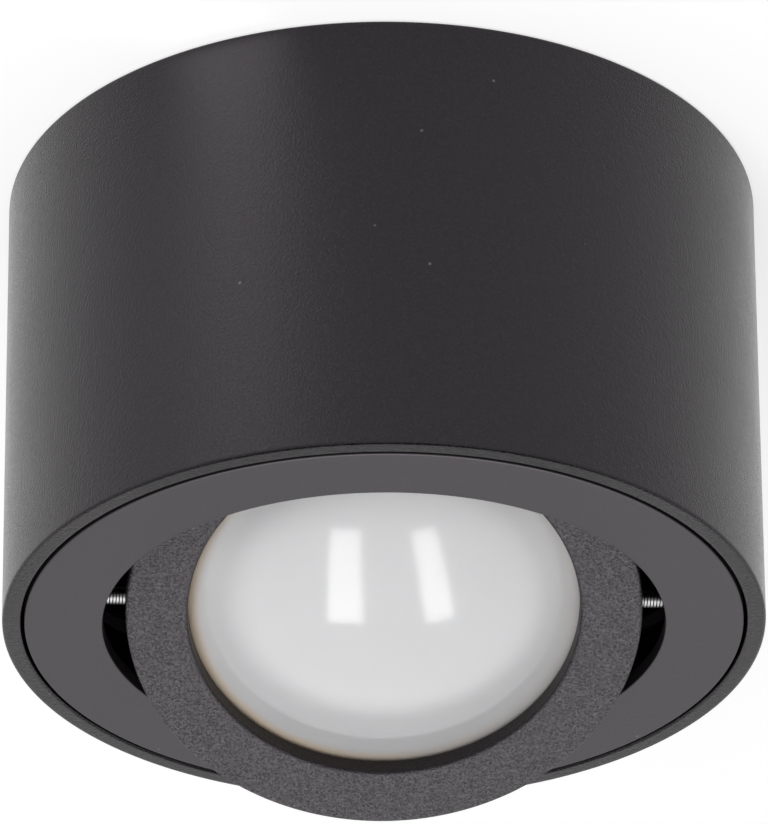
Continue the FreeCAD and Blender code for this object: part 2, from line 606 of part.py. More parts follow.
def pivot_lock_nuts():
    """A thin nut outside each ear keeps its pivot screw where it was set."""
    nut = hexagon(LOCK_NUT_WIDTH, 0, LOCK_NUT_THICKNESS)
    nut = nut.cut(cylinder(PIVOT_SCREW_DIAMETER + 2 * RUNNING_FIT, 0, LOCK_NUT_THICKNESS))
    return around(laid_along_x(nut, EAR_OUTER, PIVOT_Z), BOTH_SIDES)


# ----------------------------------------------------------------- tilting head
def tilt_ring():
    """The ring with its collar, lamp seat, clip groove and pivot bosses."""
    groove_radius = CLIP_OUTER_RADIUS + RUNNING_FIT
    body = turned([
        (OPENING_RADIUS + RING_EDGE, 0), (RING_RADIUS - RING_EDGE, 0), (RING_RADIUS, RING_EDGE),
        (RING_RADIUS, RING_THICKNESS), (COLLAR_RADIUS, RING_THICKNESS), (COLLAR_RADIUS, COLLAR_END),
        (COLLAR_BORE, COLLAR_END), (COLLAR_BORE, CLIP_BACK + RUNNING_FIT),
        (groove_radius, CLIP_BACK + RUNNING_FIT), (groove_radius, CLIP_FRONT - RUNNING_FIT),
        (COLLAR_BORE, CLIP_FRONT - RUNNING_FIT), (COLLAR_BORE, SEAT_TOP), (SEAT_RADIUS, SEAT_TOP),
        (SEAT_RADIUS, RING_THICKNESS), (OPENING_RADIUS, RING_THICKNESS), (OPENING_RADIUS, RING_EDGE)])
    boss_start = COLLAR_BORE + PIVOT_BOSS_INSET
    boss_length = RING_RADIUS - PIVOT_BOSS_SETBACK - boss_start
    boss = laid_along_x(cylinder(PIVOT_BOSS_DIAMETER, 0, boss_length), boss_start, PIVOT_DEPTH)
    below = box(boss_start, RING_RADIUS, -PIVOT_BOSS_DIAMETER, PIVOT_BOSS_DIAMETER,
                -PIVOT_BOSS_DIAMETER, RING_THICKNESS / 2)
    hole = laid_along_x(cylinder(PIVOT_SCREW_DIAMETER + 2 * RUNNING_FIT, 0, COLLAR_WALL + HEAD_GAP),
                        COLLAR_BORE, PIVOT_DEPTH)
    ring = body.fuse(around(boss.cut(below), BOTH_SIDES))
    return ring.cut(around(hole, BOTH_SIDES)).removeSplitter()


def lamp_retaining_clip():
    """An open spring ring in the collar's groove, behind the lamp's rim."""
    half = CLIP_OPENING_DEG / 2
    clip = sector(CLIP_INNER_RADIUS, CLIP_OUTER_RADIUS, CLIP_FRONT, CLIP_BACK, half, 360 - half)
    hole = cylinder(CLIP_HOLE_DIAMETER, CLIP_FRONT, CLIP_BACK, CLIP_INNER_RADIUS + CLIP_WIDTH / 2)
    ends = (half + CLIP_HOLE_DEG, -half - CLIP_HOLE_DEG)
    return clip.cut(around(hole, ends)).rotated(Vector(), AXIS_Z, 90)


# ------------------------------------------------------------------- lampholder
def pin_slot(low, high):
    """The cutter for a pin's slot: narrow where it locks, wide where the pin comes out."""
    half = PIN_NECK_DIAMETER / 2 + PIN_PLAY
    track = sector(PIN_CIRCLE - half, PIN_CIRCLE + half, low, high, 0, TWIST_DEG)
    locked_end = cylinder(2 * half, low, high, PIN_CIRCLE)
    way_out = cylinder(PIN_HEAD_DIAMETER + 2 * PIN_PLAY, low, high, PIN_CIRCLE)
    return track.fuse([locked_end, way_out.rotated(Vector(), AXIS_Z, TWIST_DEG)])


def holder_post_places():
    """The posts lie a quarter turn away from the pins."""
    return [(0.0, side * HOLDER_POST_CIRCLE / 2) for side in (-1, 1)]


def lampholder_body():
    """The front half of the lampholder, a cup with a slot for each lamp pin."""
    inner = HOLDER_RADIUS - HOLDER_WALL
    face_back = HOLDER_FRONT + HOLDER_WALL
    cup = turned([(0, HOLDER_FRONT), (HOLDER_RADIUS, HOLDER_FRONT), (HOLDER_RADIUS, HOLDER_BACK),
                  (inner, HOLDER_BACK), (inner, face_back), (0, face_back)])
    posts = [cylinder(HOLDER_POST_DIAMETER, face_back, HOLDER_BACK, x, y) for x, y in holder_post_places()]
    pilots = [cylinder(HOLDER_SCREW_DIAMETER + 2 * RUNNING_FIT, face_back, HOLDER_BACK, x, y)
              for x, y in holder_post_places()]
    return cup.fuse(posts).cut(pilots + around(pin_slot(HOLDER_FRONT, face_back), BOTH_SIDES))


def lampholder_cover():
    """The back half of the lampholder, with a boss that the leads enter from its sides."""
    cover = cylinder(2 * HOLDER_RADIUS, HOLDER_BACK, COVER_BACK)
    half = LEAD_BOSS_SIZE / 2
    boss = box(-half, half, -half, half, COVER_BACK, COVER_BACK + LEAD_BOSS_HEIGHT)
    upright_edges = [edge for edge in boss.Edges if edge.BoundBox.ZLength > LEAD_BOSS_HEIGHT / 2]
    boss = boss.makeFillet(LEAD_BOSS_ROUNDING, upright_edges)
    lead_hole = laid_along_x(cylinder(LEAD_DIAMETER + 2 * RUNNING_FIT, 0, LEAD_GRIP),
                             half - LEAD_GRIP, COVER_BACK + LEAD_BOSS_HEIGHT / 2)
    screw_holes = [cylinder(HOLDER_SCREW_DIAMETER + 2 * RUNNING_FIT, HOLDER_BACK, COVER_BACK, x, y)
                   for x, y in holder_post_places()]
    return cover.fuse(boss).cut(around(lead_hole, BOTH_SIDES) + screw_holes).removeSplitter()


def lampholder_contacts():
    """Two brass leaves behind the pins' heads, each on a leg from the cover."""
    front = PIN_END + LAMP_FIT
    leaf = sector(PIN_CIRCLE - CONTACT_WIDTH / 2, PIN_CIRCLE + CONTACT_WIDTH / 2, front,
                  front + CONTACT_THICKNESS, -CONTACT_MARGIN_DEG, TWIST_DEG + CONTACT_MARGIN_DEG)
    leg_start = (TWIST_DEG - CONTACT_LEG_DEG) / 2
    leg = sector(PIN_CIRCLE - CONTACT_WIDTH / 2, PIN_CIRCLE - CONTACT_WIDTH / 2 + CONTACT_THICKNESS,
                 front, HOLDER_BACK, leg_start, leg_start + CONTACT_LEG_DEG)
    return around(leaf.fuse(leg).removeSplitter(), BOTH_SIDES)


def lampholder_screws():
    """The screws that close the lampholder."""
    one = screw(HOLDER_SCREW_DIAMETER, HOLDER_SCREW_LENGTH).rotated(Vector(), AXIS_X, 180)
    return [one.translated(Vector(x, y, COVER_BACK)) for x, y in holder_post_places()]


# ------------------------------------------------------------------------- lamp
def lamp_diffuser():
    """The opal dome with the straight edge that sits on the lamp's rim."""
    def cap(radius, dome_radius, crown, bottom):
        edge = crown + dome_height(radius, dome_radius)
        middle = crown + dome_height(radius / 2, dome_radius)
        arc = Part.Arc(Vector(0, 0, crown), Vector(radius / 2, 0, middle), Vector(radius, 0, edge))
        side = Part.makePolygon([Vector(radius, 0, edge), Vector(radius, 0, bottom),
                                 Vector(0, 0, bottom), Vector(0, 0, crown)])
        return Part.Face(Part.Wire([arc.toShape()] + side.Edges)).revolve(Vector(), AXIS_Z, 360)

    outside = cap(DIFFUSER_RADIUS, DOME_RADIUS, CROWN, LAMP_RIM_FRONT)
    inside = cap(DIFFUSER_RADIUS - DIFFUSER_WALL, DOME_RADIUS - DIFFUSER_WALL,
                 CROWN + DIFFUSER_WALL, LAMP_RIM_FRONT + DIFFUSER_WALL)
    return outside.cut(inside)


def lamp_body():
    """The lamp's plastic cup, with the ledge and posts that its boards rest on."""
    wide = LAMP_INNER_RADIUS + RUNNING_FIT
    narrow = LAMP_INNER_RADIUS - LAMP_LEDGE
    cup = turned([(0, LAMP_FLOOR), (narrow, LAMP_FLOOR), (narrow, SPREADER_BACK),
                  (wide, SPREADER_BACK), (wide, LAMP_RIM_FRONT), (LAMP_RADIUS, LAMP_RIM_FRONT),
                  (LAMP_RADIUS, LAMP_RIM_BACK), (LAMP_REAR_RADIUS, LAMP_RIM_BACK),
                  (LAMP_REAR_RADIUS, LAMP_BACK), (0, LAMP_BACK)])
    post = cylinder(DRIVER_POST_DIAMETER, DRIVER_BACK, LAMP_FLOOR, DRIVER_POST_CIRCLE / 2)
    pin_hole = cylinder(PIN_NECK_DIAMETER + 2 * RUNNING_FIT, LAMP_FLOOR, LAMP_BACK, PIN_CIRCLE)
    return cup.fuse(around(post, DRIVER_POST_ANGLES)).cut(around(pin_hole, BOTH_SIDES)).removeSplitter()


def lamp_pins():
    """Two pins with wide heads, riveted into the lamp's back."""
    neck_end = LAMP_BACK + PIN_NECK_LENGTH
    pin = cylinder(PIN_NECK_DIAMETER, LAMP_FLOOR - PIN_RIVET, neck_end, PIN_CIRCLE)
    head = cylinder(PIN_HEAD_DIAMETER, neck_end, PIN_END, PIN_CIRCLE)
    rivet = cylinder(PIN_HEAD_DIAMETER, LAMP_FLOOR - PIN_RIVET, LAMP_FLOOR, PIN_CIRCLE)
    return around(pin.fuse([head, rivet]).removeSplitter(), BOTH_SIDES)


def led_chips():
    """The light sources, in circles on their board."""
    half = LED_SIDE / 2
    chips = []
    for circle_radius, count in zip(LED_CIRCLE_RADII, LED_CIRCLE_COUNTS):
        chip = box(circle_radius - half, circle_radius + half, -half, half,
                   LED_BOARD_FRONT - LED_HEIGHT, LED_BOARD_FRONT)
        chips += around(chip, [360 * place / count for place in range(count)])
    return chips


def driver_parts():
    """The tall components on the driver board's back."""
    return [box(x - length / 2, x + length / 2, y - width / 2, y + width / 2,
                DRIVER_BACK, DRIVER_BACK + height)
            for x, y, length, width, height in DRIVER_PARTS]


# ------------------------------------------------------------------------ leads
def supply_lead(name, side, pole_x):
    """From a pole of the terminal block down to the middle of the sleeve."""
    block_side = BLOCK_PLACE - BLOCK_WIDTH / 2
    x = side * LEAD_PITCH / 2
    return lead(name, [
        Vector(pole_x, block_side + LEAD_GRIP, POLE_Z), Vector(pole_x, block_side - SUPPLY_RUN, POLE_Z),
        Vector(x, 0, POLE_Z), Vector(x, 0, -SLEEVE_DEPTH)])


def lamp_lead(name, side):
    """From the middle of the sleeve, in a slack loop, to the lampholder's boss."""
    x = side * LEAD_PITCH / 2
    boss_z = RING_FACE_Z + COVER_BACK + LEAD_BOSS_HEIGHT / 2
    tilt = FreeCAD.Placement(Vector(), FreeCAD.Rotation(AXIS_X, -TILT_DEG), Vector(0, 0, PIVOT_Z))
    entry = tilt.multVec(Vector(side * (LEAD_BOSS_SIZE / 2 - LEAD_GRIP), 0, boss_z))
    bend = tilt.multVec(Vector(side * LOOP_REACH, 0, boss_z))
    sleeve_end_z = -SLEEVE_DEPTH - SLEEVE_LENGTH / 2
    cover_z = tilt.multVec(Vector(0, 0, RING_FACE_Z + COVER_BACK)).z
    loop_z = (sleeve_end_z + cover_z) / 2
    return lead(name, [
        Vector(x, 0, -SLEEVE_DEPTH), Vector(x, 0, loop_z + LOOP_RISE),
        Vector(side * LOOP_REACH, LOOP_FORWARD, loop_z), bend, entry])


def lead_sleeve():
    """The heatproof sleeve that ties the leads together on the housing's axis."""
    return tube(SLEEVE_DIAMETER, SLEEVE_BORE, -SLEEVE_DEPTH - SLEEVE_LENGTH / 2,
                -SLEEVE_DEPTH + SLEEVE_LENGTH / 2)


# --------------------------------------------------------------------- assembly
os.makedirs("parts", exist_ok=True)

save("housing_tube", [housing_tube()])
save("back_plate", [back_plate()])
save("back_plate_screws", back_plate_screws())
save("cable_grommet", [cable_grommet()])
save("terminal_block", [terminal_block()])
save("terminal_barrels", terminal_barrels())
save("terminal_clamp_screws", terminal_clamp_screws())
save("terminal_block_screws", terminal_block_screws())
save("earth_lug", [earth_lug()])
save("earth_washer", [earth_washer()])
save("earth_screw", [earth_screw()])
save("earth_wire", [earth_wire()])
save("neutral_supply_lead", [supply_lead("neutral_supply_lead", -1, pole_places()[1])])
save("live_supply_lead", [supply_lead("live_supply_lead", 1, pole_places()[2])])

save("front_plate", [front_plate()])
save("plate_springs", plate_springs())
save("plate_spring_screws", plate_spring_screws())
save("pivot_screws", pivot_screws())
save("pivot_lock_nuts", pivot_lock_nuts())
save("lead_sleeve", [lead_sleeve()])

save("tilt_ring", [hung(tilt_ring())])
save("lamp_retaining_clip", [hung(lamp_retaining_clip())])
save("lampholder_body", [hung(lampholder_body())])
save("lampholder_cover", [hung(lampholder_cover())])
save("lampholder_contacts", [hung(contact) for contact in lampholder_contacts()])
save("lampholder_screws", [hung(one) for one in lampholder_screws()])
save("neutral_lamp_lead", [lamp_lead("neutral_lamp_lead", -1)])
save("live_lamp_lead", [lamp_lead("live_lamp_lead", 1)])

save("lamp_diffuser", [hung(lamp_diffuser())])
save("lamp_body", [hung(lamp_body())])
save("lamp_pins", [hung(pin) for pin in lamp_pins()])
save("heat_spreader", [hung(cylinder(2 * SPREADER_RADIUS, LED_BOARD_BACK, SPREADER_BACK))])
save("led_board", [hung(cylinder(LED_BOARD_DIAMETER, LED_BOARD_FRONT, LED_BOARD_BACK))])
save("led_chips", [hung(chip) for chip in led_chips()])
save("driver_board", [hung(cylinder(DRIVER_BOARD_DIAMETER, DRIVER_FRONT, DRIVER_BACK))])
save("driver_parts", [hung(part) for part in driver_parts()])

print("housing %.1f across and %.1f high, pivot axis at Z %.1f, ring opening %.1f" % (
    2 * HOUSING_RADIUS, HOUSING_HEIGHT, PIVOT_Z, 2 * OPENING_RADIUS))
print("head: crown %.2f, lamp back %.2f, cover back %.2f, driver front %.2f, spreader back %.2f" % (
    CROWN, LAMP_BACK, COVER_BACK, DRIVER_FRONT, SPREADER_BACK))
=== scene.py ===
# %% [markdown]
# # A round ceiling spotlight, dressed for its photograph
#
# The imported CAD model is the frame: every piece below sits in the same row frame, in metres, with the
# origin in the middle of the face against the ceiling and +Z pointing up into the ceiling. The scene adds
# what CAD leaves out: softened edges, screw threads, powder coat, opal plastic, light and a camera.

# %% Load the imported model
import json
import math

import bmesh
import bpy
from mathutils import Matrix, Vector

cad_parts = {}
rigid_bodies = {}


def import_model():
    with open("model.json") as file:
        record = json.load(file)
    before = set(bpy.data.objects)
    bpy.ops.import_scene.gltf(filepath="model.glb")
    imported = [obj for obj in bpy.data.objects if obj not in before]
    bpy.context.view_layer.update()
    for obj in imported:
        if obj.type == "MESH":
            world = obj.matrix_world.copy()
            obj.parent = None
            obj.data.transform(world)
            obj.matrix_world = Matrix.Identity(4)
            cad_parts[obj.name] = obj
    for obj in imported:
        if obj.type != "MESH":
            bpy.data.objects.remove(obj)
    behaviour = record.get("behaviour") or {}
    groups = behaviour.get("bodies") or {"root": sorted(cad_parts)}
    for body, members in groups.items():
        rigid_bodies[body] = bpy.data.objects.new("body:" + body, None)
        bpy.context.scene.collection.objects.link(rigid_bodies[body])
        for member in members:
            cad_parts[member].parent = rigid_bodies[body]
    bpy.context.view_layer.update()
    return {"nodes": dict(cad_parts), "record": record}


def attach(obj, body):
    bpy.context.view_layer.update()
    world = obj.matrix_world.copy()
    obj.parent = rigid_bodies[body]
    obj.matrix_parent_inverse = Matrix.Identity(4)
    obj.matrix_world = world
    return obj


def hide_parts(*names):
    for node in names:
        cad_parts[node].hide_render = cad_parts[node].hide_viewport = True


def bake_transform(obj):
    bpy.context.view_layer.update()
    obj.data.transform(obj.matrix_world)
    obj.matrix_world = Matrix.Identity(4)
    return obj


for leftover in list(bpy.data.objects):
    bpy.data.objects.remove(leftover)
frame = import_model()

# %% [markdown]
# ## Sizes
#
# The same sizes as in the part's source, in millimetres, because people read millimetres more easily.
# `MM` turns them into Blender's metres. Nothing here changes the object's size: the new meshes follow
# the CAD shapes and only ease their edges.

# %% Sizes of the housing, the plate, the ring and the lamp
MM, MM_PER_METRE = 0.001, 1000.0
HOUSING_RADIUS, BORE_RADIUS, HOUSING_HEIGHT = 60.0, 57.0, 75.0
MOUTH_Z = -HOUSING_HEIGHT
GROOVE_Z, GROOVE_DEPTH, GROOVE_OPENING, GROOVE_FLOOR = -56.0, 1.2, 6.0, 3.0
LUG_ANGLES, LUG_REACH, LUG_WIDTH, LUG_LENGTH, LUG_OVERLAP = (30, 150, 270), 8.0, 8.0, 10.0, 1.5
M3_BORE_RADIUS, PILOT_RADIUS = 1.55, 1.3
BACK_PLATE, BACK_SCREW_RADIUS = 2.0, 52.5
PLATE_RADIUS, HOLE_RADIUS, PLATE_THICKNESS = 56.5, 44.2, 2.5
PLATE_BACK_Z = MOUTH_Z + PLATE_THICKNESS
EAR_INNER, EAR_OUTER, EAR_WIDTH = 45.0, 48.0, 10.0
POST_ANGLES, POST_RADIUS, POST_DIAMETER, POST_HEIGHT = (90, 210, 330), 50.0, 6.0, 5.0
PIVOT_Z, RING_FACE_Z, TILT_DEG = -69.5, -74.2, 27.0
RING_RADIUS, OPENING_RADIUS, RING_THICKNESS = 40.6, 30.8, 3.6
COLLAR_BORE, COLLAR_RADIUS, COLLAR_END = 37.8, 39.4, 17.37
SEAT_RADIUS, SEAT_TOP = 35.4, 6.74
CLIP_FRONT, CLIP_BACK, CLIP_GROOVE = 14.32, 15.42, 38.55
DOME_RADIUS, CROWN, DIFFUSER_RADIUS, DIFFUSER_WALL, DIFFUSER_RIM = 64.0, -3.95, 37.2, 1.4, 1.6

HEAD = (Matrix.Translation((0, 0, PIVOT_Z * MM)) @ Matrix.Rotation(math.radians(-TILT_DEG), 4, "X")
        @ Matrix.Translation((0, 0, (RING_FACE_Z - PIVOT_Z) * MM)))
HEAD_UP = HEAD.to_3x3() @ Vector((0, 0, 1))
print("head's up axis:", [round(v, 3) for v in HEAD_UP])

# %% [markdown]
# ## Camera
#
# The photograph was taken from below and in front with a long lens. Its place was found by fitting the
# rims of the housing, the plate and the ring. The long side of the picture is 824 pixels, so the focal
# length in millimetres is the fitted one in pixels times 36 / 824.

# %% Camera at the photograph's viewing angle
CAMERA_PLACE = Vector((-0.0331, -1.2055, -0.7098))
YAW, PITCH, ROLL = (math.radians(angle) for angle in (1.583, 29.189, -0.364))
FOCAL_PIXELS, LONG_SIDE_PIXELS, SENSOR = 8673.7, 824, 36.0

ahead = Vector((math.sin(YAW) * math.cos(PITCH), math.cos(YAW) * math.cos(PITCH), math.sin(PITCH)))
level_right = Vector((math.cos(YAW), -math.sin(YAW), 0))
level_up = level_right.cross(ahead)
right = math.cos(ROLL) * level_right + math.sin(ROLL) * level_up
above = math.cos(ROLL) * level_up - math.sin(ROLL) * level_right
camera = bpy.data.objects.new("camera", bpy.data.cameras.new("camera"))
camera.data.lens = FOCAL_PIXELS * SENSOR / LONG_SIDE_PIXELS
camera.data.sensor_width = SENSOR
camera.matrix_world = Matrix((right, above, -ahead)).transposed().to_4x4()
camera.location = CAMERA_PLACE
bpy.context.scene.collection.objects.link(camera)
bpy.context.scene.camera = camera
bpy.context.scene.view_settings.view_transform = "Standard"
print("lens %.1f mm, %.2f m from the light" % (camera.data.lens, CAMERA_PLACE.length))

# %% [markdown]
# ## Helpers for materials
#
# A node tree reads best when each node is made in one line. `add_node` makes a node, sets its plain
# properties and fills its inputs: a value is written into the socket, and a socket is linked to it.

# %% Node helpers
def add_node(tree, kind, settings=None, **inputs):
    """A new node in a tree; inputs are named with underscores for spaces."""
    node = tree.nodes.new(kind)
    for name, value in (settings or {}).items():
        setattr(node, name, value)
    for name, value in inputs.items():
        plug = node.inputs[int(name[1:])] if name[1:].isdigit() else node.inputs[name.replace("_", " ")]
        if isinstance(value, bpy.types.NodeSocket):
            tree.links.new(value, plug)
        else:
            plug.default_value = value
    return node


def feed(tree, node, **values):
    """Links values to a node's inputs."""
    for title, value in values.items():
        tree.links.new(value, node.inputs[title.replace("_", " ")])


def object_place(tree):
    """The place on the piece itself, so a pattern stays with a piece that moves."""
    return add_node(tree, "ShaderNodeTexCoord").outputs["Object"]


def maths(tree, operation, first, second=0.0, third=0.0):
    """A sum of one, two or three values."""
    return add_node(tree, "ShaderNodeMath", {"operation": operation}, _0=first, _1=second,
                    _2=third).outputs[0]


def vectors(tree, operation, first, second=(0, 0, 0), result=0):
    """A sum of two vectors; the result "Value" is a plain number."""
    return add_node(tree, "ShaderNodeVectorMath", {"operation": operation}, _0=first,
                    _1=second).outputs[result]


def ramp(tree, value, low, high, at_low=0.0, at_high=1.0, shape="LINEAR"):
    """A value that goes from one number to another between two limits, and stays there past them."""
    return add_node(tree, "ShaderNodeMapRange", {"interpolation_type": shape}, _0=value, _1=low, _2=high,
                    _3=at_low, _4=at_high).outputs[0]


def mixed(tree, share, first, second):
    """The first colour where the share is 0, the second where it is 1."""
    return add_node(tree, "ShaderNodeMix", {"data_type": "RGBA"}, _0=share, _6=first, _7=second).outputs[2]


def per_mm(tree, millimetres):
    """The texture scale that gives features of about this size."""
    return maths(tree, "DIVIDE", MM_PER_METRE, millimetres)


# %% [markdown]
# A node group is a small tree that many materials share. A material holds the Principled shader, which
# Blender makes with it, and `grey` writes a neutral or slightly tinted colour as one number.

# %% Groups, materials and greys
def new_group(name, kind, inputs, outputs):
    """An empty node group with named sockets; returns it, what it is given, and its output node."""
    tree = bpy.data.node_groups.new(name, kind)
    for in_out, sockets in (("INPUT", inputs), ("OUTPUT", outputs)):
        for title, socket_type, value in sockets:
            socket = tree.interface.new_socket(title, in_out=in_out, socket_type="NodeSocket" + socket_type)
            if value is not None:
                socket.default_value = value
    return tree, tree.nodes.new("NodeGroupInput").outputs, tree.nodes.new("NodeGroupOutput")


def group_in(tree, group, **inputs):
    """Places a node group in a material, fills its inputs and returns its outputs."""
    return add_node(tree, "ShaderNodeGroup", {"node_tree": group}, **inputs).outputs


def new_material(name, **shader_values):
    """A material with a Principled shader; returns it with its tree and shader."""
    material = bpy.data.materials.new(name)
    material.use_nodes = True
    shader = material.node_tree.nodes["Principled BSDF"]
    for title, value in shader_values.items():
        shader.inputs[title.replace("_", " ")].default_value = value
    return material, material.node_tree, shader


def grey(level, tint=(1, 1, 1)):
    """A linear colour from one level, with a slight tint."""
    return (level * tint[0], level * tint[1], level * tint[2], 1)


# %% [markdown]
# ## Shared surface effects
#
# Four effects appear on many finishes, so each is a node group with its own dials: the grain of powder
# coat, the faint marks of handling, the drawn grain of metal, and the fine texture of a mould. A group
# puts out only colours, values and normals. The shader itself stays in each material.
#
# Powder coat melts into a skin with fine grain. Two sizes of noise give it a lively height, which also
# chooses where the lighter specks lie, and sparse dots are the odd larger fleck.

# %% Powder grain
SKIN_OUTPUTS = [("Colour", "Color", None), ("Roughness", "Float", None), ("Normal", "Vector", None)]
GRAIN_LOW, GRAIN_HIGH, FINE_SCALE, FINE_SHARE = 0.58, 0.90, 2.3, 0.45
FLECK_CORE, FLECK_EDGE, FLECK_SHADE = 0.02, 0.035, 0.09


def powder_grain_group():
    """Two sizes of grain: fine specks and soft mottling, as colour, roughness and relief."""
    tree, given, out = new_group("powder_grain", "ShaderNodeTree", [
        ("Paint", "Color", grey(0.02)), ("Speck", "Color", grey(0.06)), ("Grain Size mm", "Float", 0.6),
        ("Contrast", "Float", 0.5), ("Relief", "Float", 0.3), ("Roughness", "Float", 0.5),
        ("Roughness Spread", "Float", 0.1), ("Fleck Every mm", "Float", 9.0)], SKIN_OUTPUTS)
    place = object_place(tree)
    nearest = add_node(tree, "ShaderNodeTexVoronoi", Vector=place, Scale=per_mm(tree, given["Fleck Every mm"]))
    fleck = ramp(tree, nearest.outputs["Distance"], FLECK_CORE, FLECK_EDGE, 1.0, 0.0)
    scale = per_mm(tree, given["Grain Size mm"])
    coarse = add_node(tree, "ShaderNodeTexNoise", Vector=place, Scale=scale, Detail=2.0, Roughness=0.6)
    fine = add_node(tree, "ShaderNodeTexNoise", Vector=place, Scale=maths(tree, "MULTIPLY", scale, FINE_SCALE),
                    Detail=1.0, Roughness=0.5)
    height = maths(tree, "MULTIPLY_ADD", fine.outputs["Fac"], FINE_SHARE, coarse.outputs["Fac"])
    mask = ramp(tree, height, GRAIN_LOW, GRAIN_HIGH)
    colour = mixed(tree, maths(tree, "MULTIPLY", mask, given["Contrast"]), given["Paint"], given["Speck"])
    colour = mixed(tree, fleck, colour, grey(FLECK_SHADE))
    swing = maths(tree, "SUBTRACT", 0.5, mask)
    rough = maths(tree, "MULTIPLY_ADD", swing, given["Roughness Spread"], given["Roughness"])
    bump = add_node(tree, "ShaderNodeBump", Height=height, Strength=given["Relief"], Distance=0.1 * MM)
    feed(tree, out, Colour=colour, Roughness=rough, Normal=bump.outputs["Normal"])
    return tree


powder_grain = powder_grain_group()


# %% [markdown]
# Hands and cloths leave faint patches on every surface. They hardly change the colour, but they change how
# sharply the surface mirrors, so one slow noise moves roughness and a trace of the colour together.

# %% Handling marks
PATCH_ON_ROUGHNESS, PATCH_ON_SHADE = 0.25, 0.12


def handling_marks_group():
    """Faint wiped patches: they change roughness a little and colour hardly at all."""
    tree, given, out = new_group("handling_marks", "ShaderNodeTree", [
        ("Colour", "Color", grey(0.5)), ("Roughness", "Float", 0.3), ("Patch Size mm", "Float", 14.0),
        ("Strength", "Float", 0.5)], SKIN_OUTPUTS[:2])
    patches = add_node(tree, "ShaderNodeTexNoise", Vector=object_place(tree), Detail=4.0, Roughness=0.55,
                       Scale=per_mm(tree, given["Patch Size mm"]), Distortion=0.4)
    swing = maths(tree, "SUBTRACT", patches.outputs["Fac"], 0.5)
    amount = maths(tree, "MULTIPLY", swing, given["Strength"])
    rough = maths(tree, "MULTIPLY_ADD", amount, PATCH_ON_ROUGHNESS, given["Roughness"])
    value = maths(tree, "MULTIPLY_ADD", amount, PATCH_ON_SHADE, 1.0)
    colour = add_node(tree, "ShaderNodeHueSaturation", Color=given["Colour"], Value=value).outputs[0]
    feed(tree, out, Colour=colour, Roughness=rough)
    return tree


handling_marks = handling_marks_group()


# %% [markdown]
# Rolled, drawn and turned metal carries fine lines along one direction. Noise on coordinates that are
# squeezed along that direction gives such lines with one texture, on any piece and at any size.

# %% Drawn metal
def drawn_metal_group():
    """Fine lines left by drawing, rolling or turning, stretched along one direction."""
    tree, given, out = new_group("drawn_metal", "ShaderNodeTree", [
        ("Metal", "Color", grey(0.6)), ("Stretch", "Vector", (1.0, 1.0, 12.0)), ("Line Size mm", "Float", 0.5),
        ("Relief", "Float", 0.2), ("Roughness", "Float", 0.3)], SKIN_OUTPUTS)
    squeezed = vectors(tree, "DIVIDE", object_place(tree), given["Stretch"])
    lines = add_node(tree, "ShaderNodeTexNoise", Vector=squeezed, Scale=per_mm(tree, given["Line Size mm"]),
                     Detail=3.0, Roughness=0.6).outputs["Fac"]
    rough = maths(tree, "MULTIPLY_ADD", lines, 0.15, given["Roughness"])
    value = ramp(tree, lines, 0.2, 0.8, 0.86, 1.1)
    colour = add_node(tree, "ShaderNodeHueSaturation", Color=given["Metal"], Value=value).outputs[0]
    bump = add_node(tree, "ShaderNodeBump", Height=lines, Strength=given["Relief"], Distance=0.05 * MM)
    feed(tree, out, Colour=colour, Roughness=rough, Normal=bump.outputs["Normal"])
    return tree


drawn_metal = drawn_metal_group()


# %% [markdown]
# A mould is spark eroded, and its fine texture comes out on every piece of plastic or rubber. A small noise
# is that texture, and a slow one lets the shade drift a little, as it does in real plastic.

# %% Moulded surface
SLOW_SCALE = 90.0


def moulded_surface_group():
    """The fine spark texture of a mould, with a slow drift of shade across the piece."""
    tree, given, out = new_group("moulded_surface", "ShaderNodeTree", [
        ("Plastic", "Color", grey(0.6)), ("Texture Size mm", "Float", 0.25), ("Relief", "Float", 0.15),
        ("Drift", "Float", 0.05), ("Roughness", "Float", 0.45)], SKIN_OUTPUTS)
    place = object_place(tree)
    spark = add_node(tree, "ShaderNodeTexNoise", Vector=place, Scale=per_mm(tree, given["Texture Size mm"]),
                     Detail=1.0)
    slow = add_node(tree, "ShaderNodeTexNoise", Vector=place, Scale=SLOW_SCALE, Detail=3.0)
    swing = maths(tree, "SUBTRACT", slow.outputs["Fac"], 0.5)
    value = maths(tree, "MULTIPLY_ADD", swing, given["Drift"], 1.0)
    colour = add_node(tree, "ShaderNodeHueSaturation", Color=given["Plastic"], Value=value).outputs[0]
    rough = maths(tree, "MULTIPLY_ADD", swing, 0.2, given["Roughness"])
    bump = add_node(tree, "ShaderNodeBump", Height=spark.outputs["Fac"], Strength=given["Relief"],
                    Distance=0.03 * MM)
    feed(tree, out, Colour=colour, Roughness=rough, Normal=bump.outputs["Normal"])
    return tree


moulded_surface = moulded_surface_group()
print("shared effects:", [group.name for group in bpy.data.node_groups])


# %% [markdown]
# Nearly every finish ends in the same way: its grain goes through the handling marks to the shader.

# %% Worn finish
def wear(tree, shader, skin, patch_mm, strength):
    """Puts handling marks on a skin and feeds the shader."""
    marks = group_in(tree, handling_marks, Colour=skin["Colour"], Roughness=skin["Roughness"],
                     Patch_Size_mm=patch_mm, Strength=strength)
    feed(tree, shader, Base_Color=marks["Colour"], Roughness=marks["Roughness"], Normal=skin["Normal"])


# %% [markdown]
# ## Anthracite powder coat
#
# Housing, plate and ring are sprayed with dry powder that melts into a hard, slightly rough skin. The
# photograph shows three grains: a fine sparkle on the housing, an almost smooth plate, and a coarse grain
# on the ring. One group serves all three with different dials.

